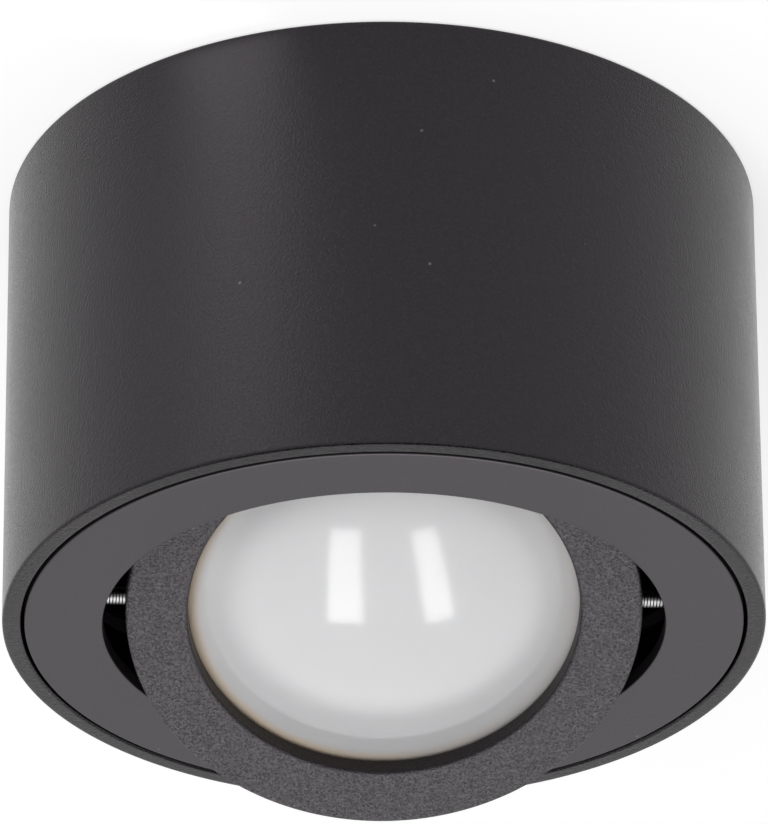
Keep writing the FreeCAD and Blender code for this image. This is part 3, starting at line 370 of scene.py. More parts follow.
# %% Three powder coats
WARM_BLACK, NEUTRAL = (1.0, 0.93, 1.0), (1.0, 0.98, 1.01)
# Painted shade: the ring's inner wall is given a flat dark colour where shade falls in the opening.
INNER_WALL_PAINTED_SHADE, RECESS_EDGE = 0.006, 0.4


def powder_coat(name, paint, speck, grain_mm, contrast, relief, roughness, gloss):
    """A powder coated metal finish; gloss is the skin's index of refraction."""
    material, tree, shader = new_material(name, IOR=gloss, Specular_Tint=(1.0, 0.90, 1.0, 1.0))
    grain = group_in(tree, powder_grain, Paint=paint, Speck=speck, Grain_Size_mm=grain_mm, Contrast=contrast,
                     Relief=relief, Roughness=roughness)
    wear(tree, shader, grain, 22.0, 0.6)
    return material


def paint_shade_on_inner_wall(material, radius_mm):
    """Paints shade on a coat: darker and plainer within a radius of the head's axis, on the ring's inner wall.
    """
    tree = material.node_tree
    shader = tree.nodes["Principled BSDF"]
    coat = shader.inputs["Base Color"].links[0].from_socket
    from_face = vectors(tree, "SUBTRACT", object_place(tree), tuple(HEAD @ Vector((0, 0, 0))))
    off_axis = vectors(tree, "CROSS_PRODUCT", from_face, tuple(HEAD_UP))
    radius = vectors(tree, "LENGTH", off_axis, result="Value")
    outside = ramp(tree, radius, radius_mm * MM, (radius_mm + RECESS_EDGE) * MM)
    feed(tree, shader, Base_Color=mixed(tree, outside, grey(INNER_WALL_PAINTED_SHADE), coat))


housing_coat = powder_coat("powder_coat_housing", grey(0.002, WARM_BLACK), grey(0.012, WARM_BLACK),
                           grain_mm=0.38, contrast=0.8, relief=1.1, roughness=0.20, gloss=1.38)
plate_coat = powder_coat("powder_coat_plate", grey(0.006, WARM_BLACK), grey(0.010, WARM_BLACK), grain_mm=0.35,
                         contrast=0.4, relief=0.08, roughness=0.40, gloss=1.43)
ring_coat = powder_coat("powder_coat_ring", grey(0.001), grey(0.070, NEUTRAL), grain_mm=0.43, contrast=1.0,
                        relief=3.0, roughness=0.40, gloss=1.345)
# Painted shade on the ring's inner wall, in the opening.
paint_shade_on_inner_wall(ring_coat, OPENING_RADIUS + 0.2)
print("powder coats:", housing_coat.name, plate_coat.name, ring_coat.name)


# %% [markdown]
# ## Metals
#
# Zinc plated steel, spring steel, brass, nickel plated brass and aluminium differ in colour, roughness
# and in the direction of their grain. A plain metal needs Metallic 1, so all its light is reflection.

# %% Metals
def metal(name, colour, line_mm, stretch, relief, roughness):
    """A bare or plated metal with drawn grain."""
    material, tree, shader = new_material(name, Metallic=1.0)
    grain = group_in(tree, drawn_metal, Metal=colour, Stretch=stretch, Line_Size_mm=line_mm, Relief=relief,
                     Roughness=roughness)
    wear(tree, shader, grain, 9.0, 0.8)
    return material


finishes = {
    "zinc_steel": metal("zinc_plated_steel", (0.60, 0.61, 0.62, 1), 0.6, (14, 1, 1), 0.15, 0.24),
    "spring_steel": metal("spring_steel", (0.42, 0.42, 0.43, 1), 0.3, (1, 1, 10), 0.2, 0.26),
    "brass": metal("brass", (0.78, 0.58, 0.27, 1), 0.3, (1, 8, 1), 0.15, 0.22),
    "nickel_brass": metal("nickel_plated_brass", (0.66, 0.63, 0.56, 1), 0.3, (1, 1, 6), 0.1, 0.16),
    "aluminium": metal("stamped_aluminium", (0.77, 0.77, 0.78, 1), 0.5, (8, 1, 1), 0.2, 0.3),
}
print("metals:", sorted(finishes))


# %% [markdown]
# ## Plastics, rubber and boards
#
# Moulded pieces share one texture group. The dials give each its own shade, gloss and depth.

# %% Moulded finishes
def moulded(name, colour, texture_mm, relief, drift, roughness):
    """A moulded plastic or rubber finish."""
    material, tree, shader = new_material(name)
    skin = group_in(tree, moulded_surface, Plastic=colour, Texture_Size_mm=texture_mm, Relief=relief,
                    Drift=drift, Roughness=roughness)
    wear(tree, shader, skin, 12.0, 0.5)
    return material


finishes.update({
    "rubber": moulded("black_rubber", (0.025, 0.025, 0.025, 1), 0.5, 0.3, 0.3, 0.62),
    "white_plastic": moulded("white_terminal_plastic", (0.74, 0.73, 0.69, 1), 0.3, 0.2, 0.06, 0.42),
    "grey_plastic": moulded("grey_lampholder_plastic", (0.23, 0.23, 0.24, 1), 0.35, 0.35, 0.12, 0.5),
    "lamp_plastic": moulded("white_lamp_plastic", (0.72, 0.72, 0.71, 1), 0.3, 0.08, 0.05, 0.3),
    "white_board": moulded("white_solder_mask", (0.80, 0.80, 0.78, 1), 0.2, 0.1, 0.04, 0.35),
    "green_board": moulded("green_solder_mask", (0.03, 0.17, 0.07, 1), 0.2, 0.15, 0.2, 0.3),
    "yellow_chip": moulded("phosphor", (0.86, 0.68, 0.12, 1), 0.15, 0.3, 0.1, 0.5),
    "black_component": moulded("black_epoxy", (0.03, 0.03, 0.032, 1), 0.2, 0.3, 0.2, 0.45),
    "insulation_blue": moulded("blue_insulation", (0.04, 0.14, 0.48, 1), 0.6, 0.1, 0.1, 0.38),
    "insulation_brown": moulded("brown_insulation", (0.17, 0.075, 0.03, 1), 0.6, 0.1, 0.1, 0.38),
})
print("finishes:", len(finishes))


# %% [markdown]
# ## Two striped and woven finishes
#
# An earth wire is green with a yellow stripe, and a heatproof sleeve is braided from glass yarn. Both are
# drawn with wave textures on Object coordinates, so they stay put when the piece moves.

# %% Earth wire and woven sleeve
def earth_insulation():
    """Green insulation with a yellow stripe."""
    material, tree, shader = new_material("green_and_yellow_insulation")
    waves = add_node(tree, "ShaderNodeTexWave", {"bands_direction": "DIAGONAL"}, Vector=object_place(tree),
                     Scale=210.0, Distortion=0.6)
    stripe = ramp(tree, waves.outputs["Fac"], 0.55, 0.62)
    colour = mixed(tree, stripe, (0.04, 0.30, 0.06, 1), (0.85, 0.68, 0.05, 1))
    skin = group_in(tree, moulded_surface, Plastic=colour, Texture_Size_mm=0.6, Relief=0.1, Drift=0.1,
                    Roughness=0.38)
    feed(tree, shader, Base_Color=skin["Colour"], Roughness=skin["Roughness"], Normal=skin["Normal"])
    return material


def woven_glass():
    """Two crossing sets of strands, as colour and relief."""
    material, tree, shader = new_material("woven_glass_sleeve", Roughness=0.6)
    place = object_place(tree)
    strands = []
    for turn in (0.7, -0.7):
        turned_place = add_node(tree, "ShaderNodeMapping", Vector=place, Rotation=(0.0, turn, turn)).outputs[0]
        strands.append(add_node(tree, "ShaderNodeTexWave", {"bands_direction": "Z"}, Vector=turned_place,
                                Scale=520.0, Distortion=0.3).outputs["Fac"])
    weave = maths(tree, "MAXIMUM", *strands)
    bump = add_node(tree, "ShaderNodeBump", Height=weave, Strength=0.6, Distance=0.1 * MM)
    feed(tree, shader, Base_Color=mixed(tree, weave, (0.38, 0.36, 0.31, 1), (0.80, 0.77, 0.70, 1)),
         Normal=bump.outputs["Normal"])
    return material


finishes["insulation_green_yellow"] = earth_insulation()
finishes["sleeve_glass_fibre"] = woven_glass()


# %% [markdown]
# ## The opal dome
#
# Opal plastic is milky: light enters, scatters and comes back out, under a smooth skin that mirrors the
# lamps of the studio. A little subsurface scattering gives the milk and a low roughness gives the skin. The
# rim is painted lighter all round, as painted light where the ring's wall shades it, and a painted warm
# reflection lies along it on the left. Clear plastic over a white one would look the same, but a single
# shader with soft scattering is enough for a wall 1.4 mm thick.

# %% Opal plastic
# Where painted light lies on the rim: lighter all round, and a warm reflection painted on the left.
PAINTED_RIM_LIGHT_FROM, PAINTED_RIM_LIGHT_TO, PAINTED_WARM_REFLECTION_FROM, PAINTED_WARM_REFLECTION_TO = 0.0052, 0.0080, 0.0066, 0.0078


def opal_dome():
    """Milky plastic under a smooth skin, with painted light on its thin rim: lighter all round and a warm
    reflection on the left.
    """
    material, tree, shader = new_material("opal_dome", IOR=1.5, Subsurface_Weight=0.7, Subsurface_Scale=0.004,
                                          Subsurface_Radius=(1.0, 0.9, 0.8))
    place = object_place(tree)
    from_crown = vectors(tree, "SUBTRACT", place, tuple(HEAD @ Vector((0, 0, CROWN * MM))))
    depth = vectors(tree, "DOT_PRODUCT", from_crown, tuple(HEAD_UP), "Value")
    # Painted light on the rim, lighter all round where the ring's wall shades it.
    rim = ramp(tree, depth, PAINTED_RIM_LIGHT_FROM, PAINTED_RIM_LIGHT_TO, shape="SMOOTHSTEP")
    milk_with_painted_rim_light = mixed(tree, rim, (0.54, 0.535, 0.545, 1), (0.74, 0.72, 0.71, 1))
    # A painted warm reflection along the rim, on the left side.
    edge = ramp(tree, depth, PAINTED_WARM_REFLECTION_FROM, PAINTED_WARM_REFLECTION_TO, shape="SMOOTHSTEP")
    side = add_node(tree, "ShaderNodeSeparateXYZ", Vector=place).outputs["X"]
    painted_warm_reflection = maths(tree, "MULTIPLY", edge, ramp(tree, side, 0.020, -0.010, 0.12, 0.9))
    marks = group_in(tree, handling_marks, Colour=mixed(tree, painted_warm_reflection, milk_with_painted_rim_light, (0.86, 0.66, 0.50, 1)),
                     Roughness=0.10, Patch_Size_mm=16.0, Strength=0.25)
    feed(tree, shader, Base_Color=marks["Colour"], Roughness=marks["Roughness"])
    return material


finishes["opal_plastic"] = opal_dome()
finishes["anthracite_powder"] = housing_coat
print("finishes for", len(finishes), "material slots")


# %% [markdown]
# ## Dressing the CAD nodes
#
# The record says which material slot each node belongs to, so one loop gives every node its finish. Nodes
# that get a finer mesh further down are replaced there.

# %% Give every node its finish
for subpart in frame["record"]["subparts"]:
    node_mesh = frame["nodes"][subpart["node"]].data
    node_mesh.materials.clear()
    node_mesh.materials.append(finishes[subpart["material_slot"]])


# %% [markdown]
# ## Helpers for shapes
#
# Most pieces here were turned, pressed or cast round an axis. `turned` spins a closed outline of radius
# and height points. `eased` first rounds the outline's corners, because a perfectly sharp edge catches no
# light. Short extra runs beside each rounding keep the flats flat under smooth shading.

# %% Outline and mesh helpers
ROUND_STEPS, SHARP_DEG = 256, 35.0
HOUSING_EASE, PLATE_EASE, RING_EASE = 0.5, 0.3, 0.62  # how far each rounding reaches from its corner, in mm


def eased(outline, radius, steps=4, guard=0.12):
    """A closed outline with every corner rounded, and a guard point on each side of the arc."""
    points = [Vector(point) for point in outline]
    result = []
    for before, corner, after in zip(points[-1:] + points[:-1], points, points[1:] + points[:1]):
        back, onward = before - corner, after - corner
        half_turn = (math.pi - back.angle(onward)) / 2
        reach = min(radius * math.tan(half_turn), 0.4 * back.length, 0.4 * onward.length)
        first, last = corner + back.normalized() * reach, corner + onward.normalized() * reach
        if back.length > 4 * (reach + guard):
            result.append(first + back.normalized() * guard)
        for step in range(steps + 1):
            share = step / steps
            result.append(first.lerp(corner, share).lerp(corner.lerp(last, share), share))
        if onward.length > 4 * (reach + guard):
            result.append(last + onward.normalized() * guard)
    return [tuple(point) for point in result]


def finish_mesh(name, shape, sharp_deg=SHARP_DEG):
    """Turns a bmesh into an object with outward faces and smooth shading."""
    bmesh.ops.remove_doubles(shape, verts=shape.verts, dist=1e-7)
    bmesh.ops.recalc_face_normals(shape, faces=shape.faces)
    mesh = bpy.data.meshes.new(name)
    shape.to_mesh(mesh)
    shape.free()
    mesh.shade_smooth()
    mesh.set_sharp_from_angle(angle=math.radians(sharp_deg))
    piece = bpy.data.objects.new(name, mesh)
    bpy.context.scene.collection.objects.link(piece)
    return piece


def turned(name, outline, steps=ROUND_STEPS, place=Matrix.Identity(4)):
    """Spins a closed outline of (radius, height) points, in millimetres, about the Z axis."""
    shape = bmesh.new()
    rings = []
    for radius, height in outline:
        if radius < 1e-6:
            rings.append([shape.verts.new((0, 0, height * MM))] * steps)
            continue
        turns = [2 * math.pi * step / steps for step in range(steps)]
        rings.append([shape.verts.new((radius * MM * math.cos(a), radius * MM * math.sin(a), height * MM))
                      for a in turns])
    for low, high in zip(rings, rings[1:] + rings[:1]):
        for here in range(steps):
            there = (here + 1) % steps
            corners = list(dict.fromkeys((low[here], low[there], high[there], high[here])))
            if len(corners) > 2:
                shape.faces.new(corners)
    shape.transform(place)
    return finish_mesh(name, shape)


def prism(name, outline, low, high, place=Matrix.Identity(4)):
    """Draws a closed flat outline of (x, y) points up from one height to another, in millimetres."""
    shape = bmesh.new()
    bottom = [shape.verts.new((x * MM, y * MM, low * MM)) for x, y in outline]
    top = [shape.verts.new((x * MM, y * MM, high * MM)) for x, y in outline]
    shape.faces.new(bottom)
    shape.faces.new(top)
    for here in range(len(outline)):
        there = (here + 1) % len(outline)
        shape.faces.new((bottom[here], bottom[there], top[there], top[here]))
    shape.transform(place)
    return finish_mesh(name, shape)


def disc_outline(radius, x=0.0, y=0.0, steps=48):
    """Points round a circle."""
    turns = [2 * math.pi * step / steps for step in range(steps)]
    return [(x + radius * math.cos(a), y + radius * math.sin(a)) for a in turns]


# %% [markdown]
# Joining and cutting is done with Boolean modifiers that are applied at once, so the result is one closed
# mesh without faces inside it.

# %% Boolean helper
def combine(piece, others, operation):
    """Adds or cuts other pieces into a piece, which keeps its name."""
    for other in others:
        modifier = piece.modifiers.new("combine", "BOOLEAN")
        modifier.operation, modifier.solver, modifier.object = operation, "EXACT", other
    graph = bpy.context.evaluated_depsgraph_get()
    mesh = bpy.data.meshes.new_from_object(piece.evaluated_get(graph))
    piece.modifiers.clear()
    piece.data = mesh
    mesh.shade_smooth()
    mesh.set_sharp_from_angle(angle=math.radians(SHARP_DEG))
    for other in others:
        bpy.data.objects.remove(other)
    return piece


def show(piece, body, slot, material, *nodes):
    """Gives a piece its material and hands it to the frame in place of CAD nodes."""
    piece.data.materials.clear()
    piece.data.materials.append(material)
    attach(piece, body)
    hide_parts(*nodes)
    print("%-22s %6d faces, stands for %s" % (piece.name, len(piece.data.polygons), ", ".join(nodes)))


def spun(angle):
    """A turn about the Z axis."""
    return Matrix.Rotation(math.radians(angle), 4, "Z")


# %% [markdown]
# ## Housing
#
# The real housing is an extruded or drawn aluminium tube with a machined groove inside its mouth, where
# the leaf springs of the front plate snap in, and three lugs that take the back plate's screws. The tube
# is spun from its section, and the lugs are added to it.

# %% Housing tube
HAIR = 0.02  # the finer skin stays inside the facets of the CAD wall
housing = turned("housing_shell", eased([
    (HOUSING_RADIUS - HAIR, MOUTH_Z), (HOUSING_RADIUS - HAIR, 0), (BORE_RADIUS, 0),
    (BORE_RADIUS, GROOVE_Z + GROOVE_OPENING / 2), (BORE_RADIUS + GROOVE_DEPTH, GROOVE_Z + GROOVE_FLOOR / 2),
    (BORE_RADIUS + GROOVE_DEPTH, GROOVE_Z - GROOVE_FLOOR / 2), (BORE_RADIUS, GROOVE_Z - GROOVE_OPENING / 2),
    (BORE_RADIUS, MOUTH_Z)], HOUSING_EASE))
lug_outline = eased([(BORE_RADIUS - LUG_REACH, -LUG_WIDTH / 2), (BORE_RADIUS + LUG_OVERLAP, -LUG_WIDTH / 2),
                     (BORE_RADIUS + LUG_OVERLAP, LUG_WIDTH / 2), (BORE_RADIUS - LUG_REACH, LUG_WIDTH / 2)], 0.5)
lugs = [prism("lug", lug_outline, -BACK_PLATE - LUG_LENGTH, -BACK_PLATE, spun(angle)) for angle in LUG_ANGLES]
holes = [prism("lug_hole", disc_outline(M3_BORE_RADIUS, BACK_SCREW_RADIUS), -BACK_PLATE - LUG_LENGTH - 1, 0,
               spun(angle)) for angle in LUG_ANGLES]
combine(housing, lugs, "UNION")
combine(housing, holes, "DIFFERENCE")
show(housing, "housing", "anthracite_powder", housing_coat, "housing_tube")


# %% [markdown]
# ## Front plate
#
# A flush disc with the head's hole. Two ears behind it carry the pivot screws, and three posts carry the
# leaf springs. The real one is a casting: a turned disc with added blocks has the same shape, and cutting
# the screw holes last keeps them clean through ear and post.

# %% Front plate
plate = turned("front_plate_disc", eased([
    (HOLE_RADIUS, MOUTH_Z), (PLATE_RADIUS, MOUTH_Z), (PLATE_RADIUS, PLATE_BACK_Z), (HOLE_RADIUS, PLATE_BACK_Z)],
    PLATE_EASE))
crest = [(EAR_WIDTH / 2 * math.sin(a), PIVOT_Z + EAR_WIDTH / 2 * math.cos(a))
         for a in (math.pi * step / 24 - math.pi / 2 for step in range(25))]
ear_outline = [(-EAR_WIDTH / 2, PLATE_BACK_Z - 0.5)] + crest + [(EAR_WIDTH / 2, PLATE_BACK_Z - 0.5)]
upright = Matrix(((0, 0, 1, 0), (1, 0, 0, 0), (0, 1, 0, 0), (0, 0, 0, 1)))
ears = [prism("ear", ear_outline, EAR_INNER, EAR_OUTER, spun(angle) @ upright) for angle in (0, 180)]
pivot_bore = [prism("pivot_bore", disc_outline(M3_BORE_RADIUS, 0, PIVOT_Z), EAR_INNER - 1, EAR_OUTER + 1,
                    spun(angle) @ upright) for angle in (0, 180)]
posts = [prism("post", disc_outline(POST_DIAMETER / 2, POST_RADIUS), PLATE_BACK_Z - 0.5,
               PLATE_BACK_Z + POST_HEIGHT, spun(angle)) for angle in POST_ANGLES]
pilots = [prism("pilot", disc_outline(PILOT_RADIUS, POST_RADIUS), PLATE_BACK_Z, PLATE_BACK_Z + POST_HEIGHT + 1,
                spun(angle)) for angle in POST_ANGLES]
combine(plate, ears + posts, "UNION")
combine(plate, pivot_bore + pilots, "DIFFERENCE")
show(plate, "trim", "anthracite_powder", plate_coat, "front_plate")


# %% [markdown]
# ## Tilting ring
#
# The ring is drawn level in its own frame, with its face at height 0, and `HEAD` hangs it at the tilt of
# the photograph. Its collar holds the lamp, and two bosses take the tips of the pivot screws. The section has
# a groove for the spring ring that keeps the lamp in, which would be hard to cut afterwards.

# %% Tilting ring
ring = turned("tilt_ring_turned", eased([
    (OPENING_RADIUS, 0), (RING_RADIUS, 0), (RING_RADIUS, RING_THICKNESS), (COLLAR_RADIUS, RING_THICKNESS),
    (COLLAR_RADIUS, COLLAR_END), (COLLAR_BORE, COLLAR_END), (COLLAR_BORE, CLIP_BACK),
    (CLIP_GROOVE, CLIP_BACK), (CLIP_GROOVE, CLIP_FRONT), (COLLAR_BORE, CLIP_FRONT), (COLLAR_BORE, SEAT_TOP),
    (SEAT_RADIUS, SEAT_TOP), (SEAT_RADIUS, RING_THICKNESS), (OPENING_RADIUS, RING_THICKNESS)], RING_EASE),
    place=HEAD)
BOSS_RADIUS, BOSS_FOOT, PIVOT_HEIGHT = 4.5, 1.8, PIVOT_Z - RING_FACE_Z
boss_outline = [(x, max(y, BOSS_FOOT)) for x, y in disc_outline(BOSS_RADIUS, 0, PIVOT_HEIGHT)]
bosses = [prism("boss", boss_outline, COLLAR_BORE + 0.2, RING_RADIUS - 0.5, HEAD @ spun(angle) @ upright)
          for angle in (0, 180)]
boss_bores = [prism("boss_bore", disc_outline(M3_BORE_RADIUS, 0, PIVOT_HEIGHT), COLLAR_BORE - 1,
                    RING_RADIUS + 1, HEAD @ spun(angle) @ upright) for angle in (0, 180)]
combine(ring, bosses, "UNION")
combine(ring, boss_bores, "DIFFERENCE")
show(ring, "head", "anthracite_powder", ring_coat, "tilt_ring")


# %% [markdown]
# ## Opal dome
#
# A spherical cap with a straight edge, hollow, 1.4 mm thick. Points every few degrees keep the highlight
# on it clean.

# %% Opal dome
def cap_outline(radius, dome_radius, crown, steps=40):
    """Radius and height of points from the crown to the edge of a spherical cap."""
    widest = math.asin(radius / dome_radius)
    turns = [widest * step / steps for step in range(steps + 1)]
    return [(dome_radius * math.sin(a), crown + dome_radius * (1 - math.cos(a))) for a in turns]


outside = cap_outline(DIFFUSER_RADIUS, DOME_RADIUS, CROWN)
inside = cap_outline(DIFFUSER_RADIUS - DIFFUSER_WALL, DOME_RADIUS - DIFFUSER_WALL, CROWN + DIFFUSER_WALL)
dome_end = outside[-1][1] + DIFFUSER_RIM
dome = turned("opal_dome_cap", outside + [(DIFFUSER_RADIUS, dome_end), (inside[-1][0], dome_end)]
              + inside[::-1], place=HEAD)
show(dome, "lamp", "opal_plastic", finishes["opal_plastic"], "lamp_diffuser")


# %% [markdown]
# ## Screws
#
# All the screws are one recipe with different sizes: a head with a six-sided recess, a plain core and a
# helical ridge. Geometry Nodes build it once and set it out on points, one for each screw. Each point
# carries the direction in which its screw is driven. The thread is a spiral with a three-cornered section
# swept along it, sunk a little into the core.

# %% The screw tree
# In shares of the pitch: how far the ridge's middle and the core lie below the crest. A hexagon's corner
# lies 0.577 of its width from its middle.
RIDGE_SHARE, ROOT_SHARE, HEXAGON_SHARE, TURN_STEPS = 0.36, 0.55, 0.577, 28


def screw_tree():
    """Geometry Nodes: threaded screws set out on points."""
    tree, given, out = new_group("threaded_screws", "GeometryNodeTree", [
        ("Places", "Geometry", None), ("Diameter", "Float", 0.003), ("Length", "Float", 0.008),
        ("Pitch", "Float", 0.0005), ("Head", "Object", None), ("Recess", "Float", 0.0015),
        ("Recess Depth", "Float", 0.001), ("Recess Top", "Float", 0.0), ("Material", "Material", None)],
        [("Geometry", "Geometry", None)])

    def lifted(geometry, height):
        offset = add_node(tree, "ShaderNodeCombineXYZ", Z=height).outputs[0]
        return add_node(tree, "GeometryNodeTransform", Geometry=geometry, Translation=offset).outputs[0]

    radius = maths(tree, "MULTIPLY", given["Diameter"], 0.5)
    root = maths(tree, "MULTIPLY_ADD", given["Pitch"], -ROOT_SHARE, radius)
    core = add_node(tree, "GeometryNodeMeshCylinder", Vertices=32, Radius=root, Depth=given["Length"])
    core = lifted(core.outputs["Mesh"], maths(tree, "MULTIPLY", given["Length"], 0.5))
    run = maths(tree, "SUBTRACT", given["Length"], maths(tree, "MULTIPLY", given["Pitch"], 1.2))
    middle = maths(tree, "MULTIPLY_ADD", given["Pitch"], -RIDGE_SHARE, radius)
    spiral = add_node(tree, "GeometryNodeCurveSpiral", Resolution=TURN_STEPS, Start_Radius=middle,
                      Rotations=maths(tree, "DIVIDE", run, given["Pitch"]), End_Radius=middle, Height=run)
    facing_up = add_node(tree, "GeometryNodeSetCurveNormal", {"mode": "Z_UP"}, Curve=spiral.outputs[0])
    section = add_node(tree, "GeometryNodeCurvePrimitiveCircle", {"mode": "RADIUS"}, Resolution=3,
                       Radius=maths(tree, "MULTIPLY", given["Pitch"], RIDGE_SHARE))
    ridge = add_node(tree, "GeometryNodeCurveToMesh", Curve=facing_up.outputs[0],
                     Profile_Curve=section.outputs[0], Fill_Caps=True)
    ridge = lifted(ridge.outputs[0], maths(tree, "MULTIPLY", given["Pitch"], 0.6))
    head = add_node(tree, "GeometryNodeObjectInfo", Object=given["Head"]).outputs["Geometry"]
    recess = add_node(tree, "GeometryNodeMeshCylinder", Vertices=6, Depth=given["Recess Depth"],
                      Radius=maths(tree, "MULTIPLY", given["Recess"], HEXAGON_SHARE))
    recess_middle = maths(tree, "MULTIPLY_ADD", given["Recess Depth"], 0.5, given["Recess Top"])
    recess = lifted(recess.outputs["Mesh"], recess_middle)
    cut = add_node(tree, "GeometryNodeMeshBoolean", {"operation": "DIFFERENCE", "solver": "EXACT"},
                   Mesh_1=head, Mesh_2=recess)
    whole = add_node(tree, "GeometryNodeJoinGeometry")
    for part in (core, ridge, cut.outputs["Mesh"]):
        tree.links.new(part, whole.inputs[0])
    drive = add_node(tree, "GeometryNodeInputNamedAttribute", {"data_type": "FLOAT_VECTOR"}, Name="drive")
    aim = add_node(tree, "FunctionNodeAlignRotationToVector", {"axis": "Z"}, Vector=drive.outputs[0])
    set_out = add_node(tree, "GeometryNodeInstanceOnPoints", Points=given["Places"],
                       Instance=whole.outputs[0], Rotation=aim.outputs[0])
    real = add_node(tree, "GeometryNodeRealizeInstances", Geometry=set_out.outputs[0])
    dressed = add_node(tree, "GeometryNodeSetMaterial", Geometry=real.outputs[0], Material=given["Material"])
    tree.links.new(dressed.outputs[0], out.inputs["Geometry"])
    return tree


threaded_screws = screw_tree()


# %% [markdown]
# A modifier's inputs are set by the identifier of the socket. The result is read back as a plain mesh, so
# the finished piece has no modifier left.

# %% Running a Geometry Nodes tree
def grow(name, base, tree, values):
    """Runs a tree on a base mesh and keeps the result as a plain mesh object."""
    carrier = bpy.data.objects.new(name, base)
    bpy.context.scene.collection.objects.link(carrier)
    modifier = carrier.modifiers.new("grow", "NODES")
    modifier.node_group = tree
    identifiers = {item.name: item.identifier for item in tree.interface.items_tree
                   if item.item_type == "SOCKET" and item.in_out == "INPUT"}
    for title, value in values.items():
        modifier[identifiers[title]] = value
    graph = bpy.context.evaluated_depsgraph_get()
    mesh = bpy.data.meshes.new_from_object(carrier.evaluated_get(graph))
    carrier.modifiers.clear()
    carrier.data = mesh
    mesh.name = name
    mesh.shade_smooth()
    mesh.set_sharp_from_angle(angle=math.radians(SHARP_DEG))
    return carrier


def places_mesh(name, places):
    """One vertex for each place, with the direction of its screw as an attribute."""
    mesh = bpy.data.meshes.new(name)
    mesh.from_pydata([tuple(Vector(place) * MM) for place, drive in places], [], [])
    drive = mesh.attributes.new("drive", "FLOAT_VECTOR", "POINT")
    drive.data.foreach_set("vector", [part for place, heading in places for part in heading])
    return mesh


# %% [markdown]
# Pan heads sit proud of their seat, flat heads sink into it. Both are turned profiles that end in a
# point on the axis. The seat, or the top of a flat head, is at height 0 and the shank points up.

# %% Screw heads and screws
def pan_head(diameter):
    """A low rounded head below its seat."""
    radius, height = 0.95 * diameter, 0.6 * diameter
    return turned("pan_head", [(0, 0), (radius, 0), (radius, -0.55 * height), (0.93 * radius, -0.83 * height),
                               (0.75 * radius, -height), (0, -height)], 40)


def flat_head(diameter):
    """A countersunk head that points up into its hole."""
    return turned("flat_head", [(0, 0), (diameter, 0), (diameter / 2, diameter / 2), (0, diameter / 2)], 40)


def screws(name, nodes, body, places, diameter, length, pitch, flat=False, finish="zinc_steel"):
    """A set of equal screws on one body."""
    head = flat_head(diameter) if flat else pan_head(diameter)
    top = 0.0 if flat else -0.6 * diameter
    depth = (0.3 if flat else 0.36) * diameter
    made = grow(name, places_mesh(name, places), threaded_screws, {
        "Diameter": diameter * MM, "Length": length * MM, "Pitch": pitch * MM, "Head": head,
        "Recess": 0.75 * diameter * MM, "Recess Depth": (depth + 0.2) * MM, "Recess Top": (top - 0.2) * MM,
        "Material": finishes[finish]})
    bpy.data.objects.remove(head)
    show(made, body, finish, finishes[finish], nodes)
    return made


def round_about(radius, height, angles):
    """Places on a circle."""
    return [(radius * math.cos(math.radians(a)), radius * math.sin(math.radians(a)), height) for a in angles]


UP, DOWN = Vector((0, 0, 1)), Vector((0, 0, -1))
BLOCK_SCREW_X, BLOCK_SCREW_Y, BLOCK_FACE_Z = 4.0, 24.0, -15.0
EARTH_SCREW = (-27.0, -17.0, -3.6)
SPRING_THICKNESS = 0.5
COVER_SCREW_Y, COVER_BACK = 27.0, 36.07
screws("back_plate_flat_screws", "back_plate_screws", "housing",
       [(place, DOWN) for place in round_about(BACK_SCREW_RADIUS, 0, LUG_ANGLES)], 3.0, 8.0, 0.5, flat=True)
screws("terminal_block_long_screws", "terminal_block_screws", "housing",
       [((side * BLOCK_SCREW_X, BLOCK_SCREW_Y, BLOCK_FACE_Z), UP) for side in (-1, 1)], 2.0, 14.8, 0.4)
screws("earth_bonding_screw", "earth_screw", "housing", [(EARTH_SCREW, UP)], 4.0, 3.4, 0.7,
       finish="brass")
screws("spring_screws", "plate_spring_screws", "trim",
       [(place, DOWN) for place in
        round_about(POST_RADIUS, PLATE_BACK_Z + POST_HEIGHT + SPRING_THICKNESS, POST_ANGLES)], 2.5, 5.0, 0.45)
screws("lampholder_cover_screws", "lampholder_screws", "head",
       [((HEAD @ (Vector((0, side * COVER_SCREW_Y, COVER_BACK)) * MM)) / MM, -HEAD_UP) for side in (-1, 1)],
       2.5, 8.0, 0.45)


# %% [markdown]
# The two pivot screws are grub screws: no head, a socket in the outer end, and a thread over their whole
# length. Their crests show as bright lines in the dark gap beside the ring.

# %% Pivot screws
GROOVE_RADIUS, CREST_RADIUS = 1.36, 1.46


def grub_end(diameter):
    """The outer end of a grub screw, as a short plug that the socket is cut into."""
    radius = 0.4 * diameter
    return turned("grub_end", [(0, 0.0), (radius, 0.0), (radius, 2.4), (0, 2.4)], 32)


def threaded_steel():
    """Zinc plated steel with bright crests and painted shade in its thread's grooves."""
    material, tree, shader = new_material("threaded_steel", Metallic=1.0)
    across = vectors(tree, "MULTIPLY", object_place(tree), (0, 1, 1))
    radius = vectors(tree, "DISTANCE", across, (0, 0, PIVOT_Z * MM), "Value")
    # Painted shade: the thread's grooves get a near black colour, the crests a bright one.
    crest = ramp(tree, radius, GROOVE_RADIUS * MM, CREST_RADIUS * MM)
    grain = group_in(tree, drawn_metal, Metal=mixed(tree, crest, grey(0.012), grey(0.32)), Relief=0.1,
                     Stretch=(12.0, 1.0, 1.0), Line_Size_mm=0.4, Roughness=0.2)
    feed(tree, shader, Base_Color=grain["Colour"], Roughness=grain["Roughness"])
    return material


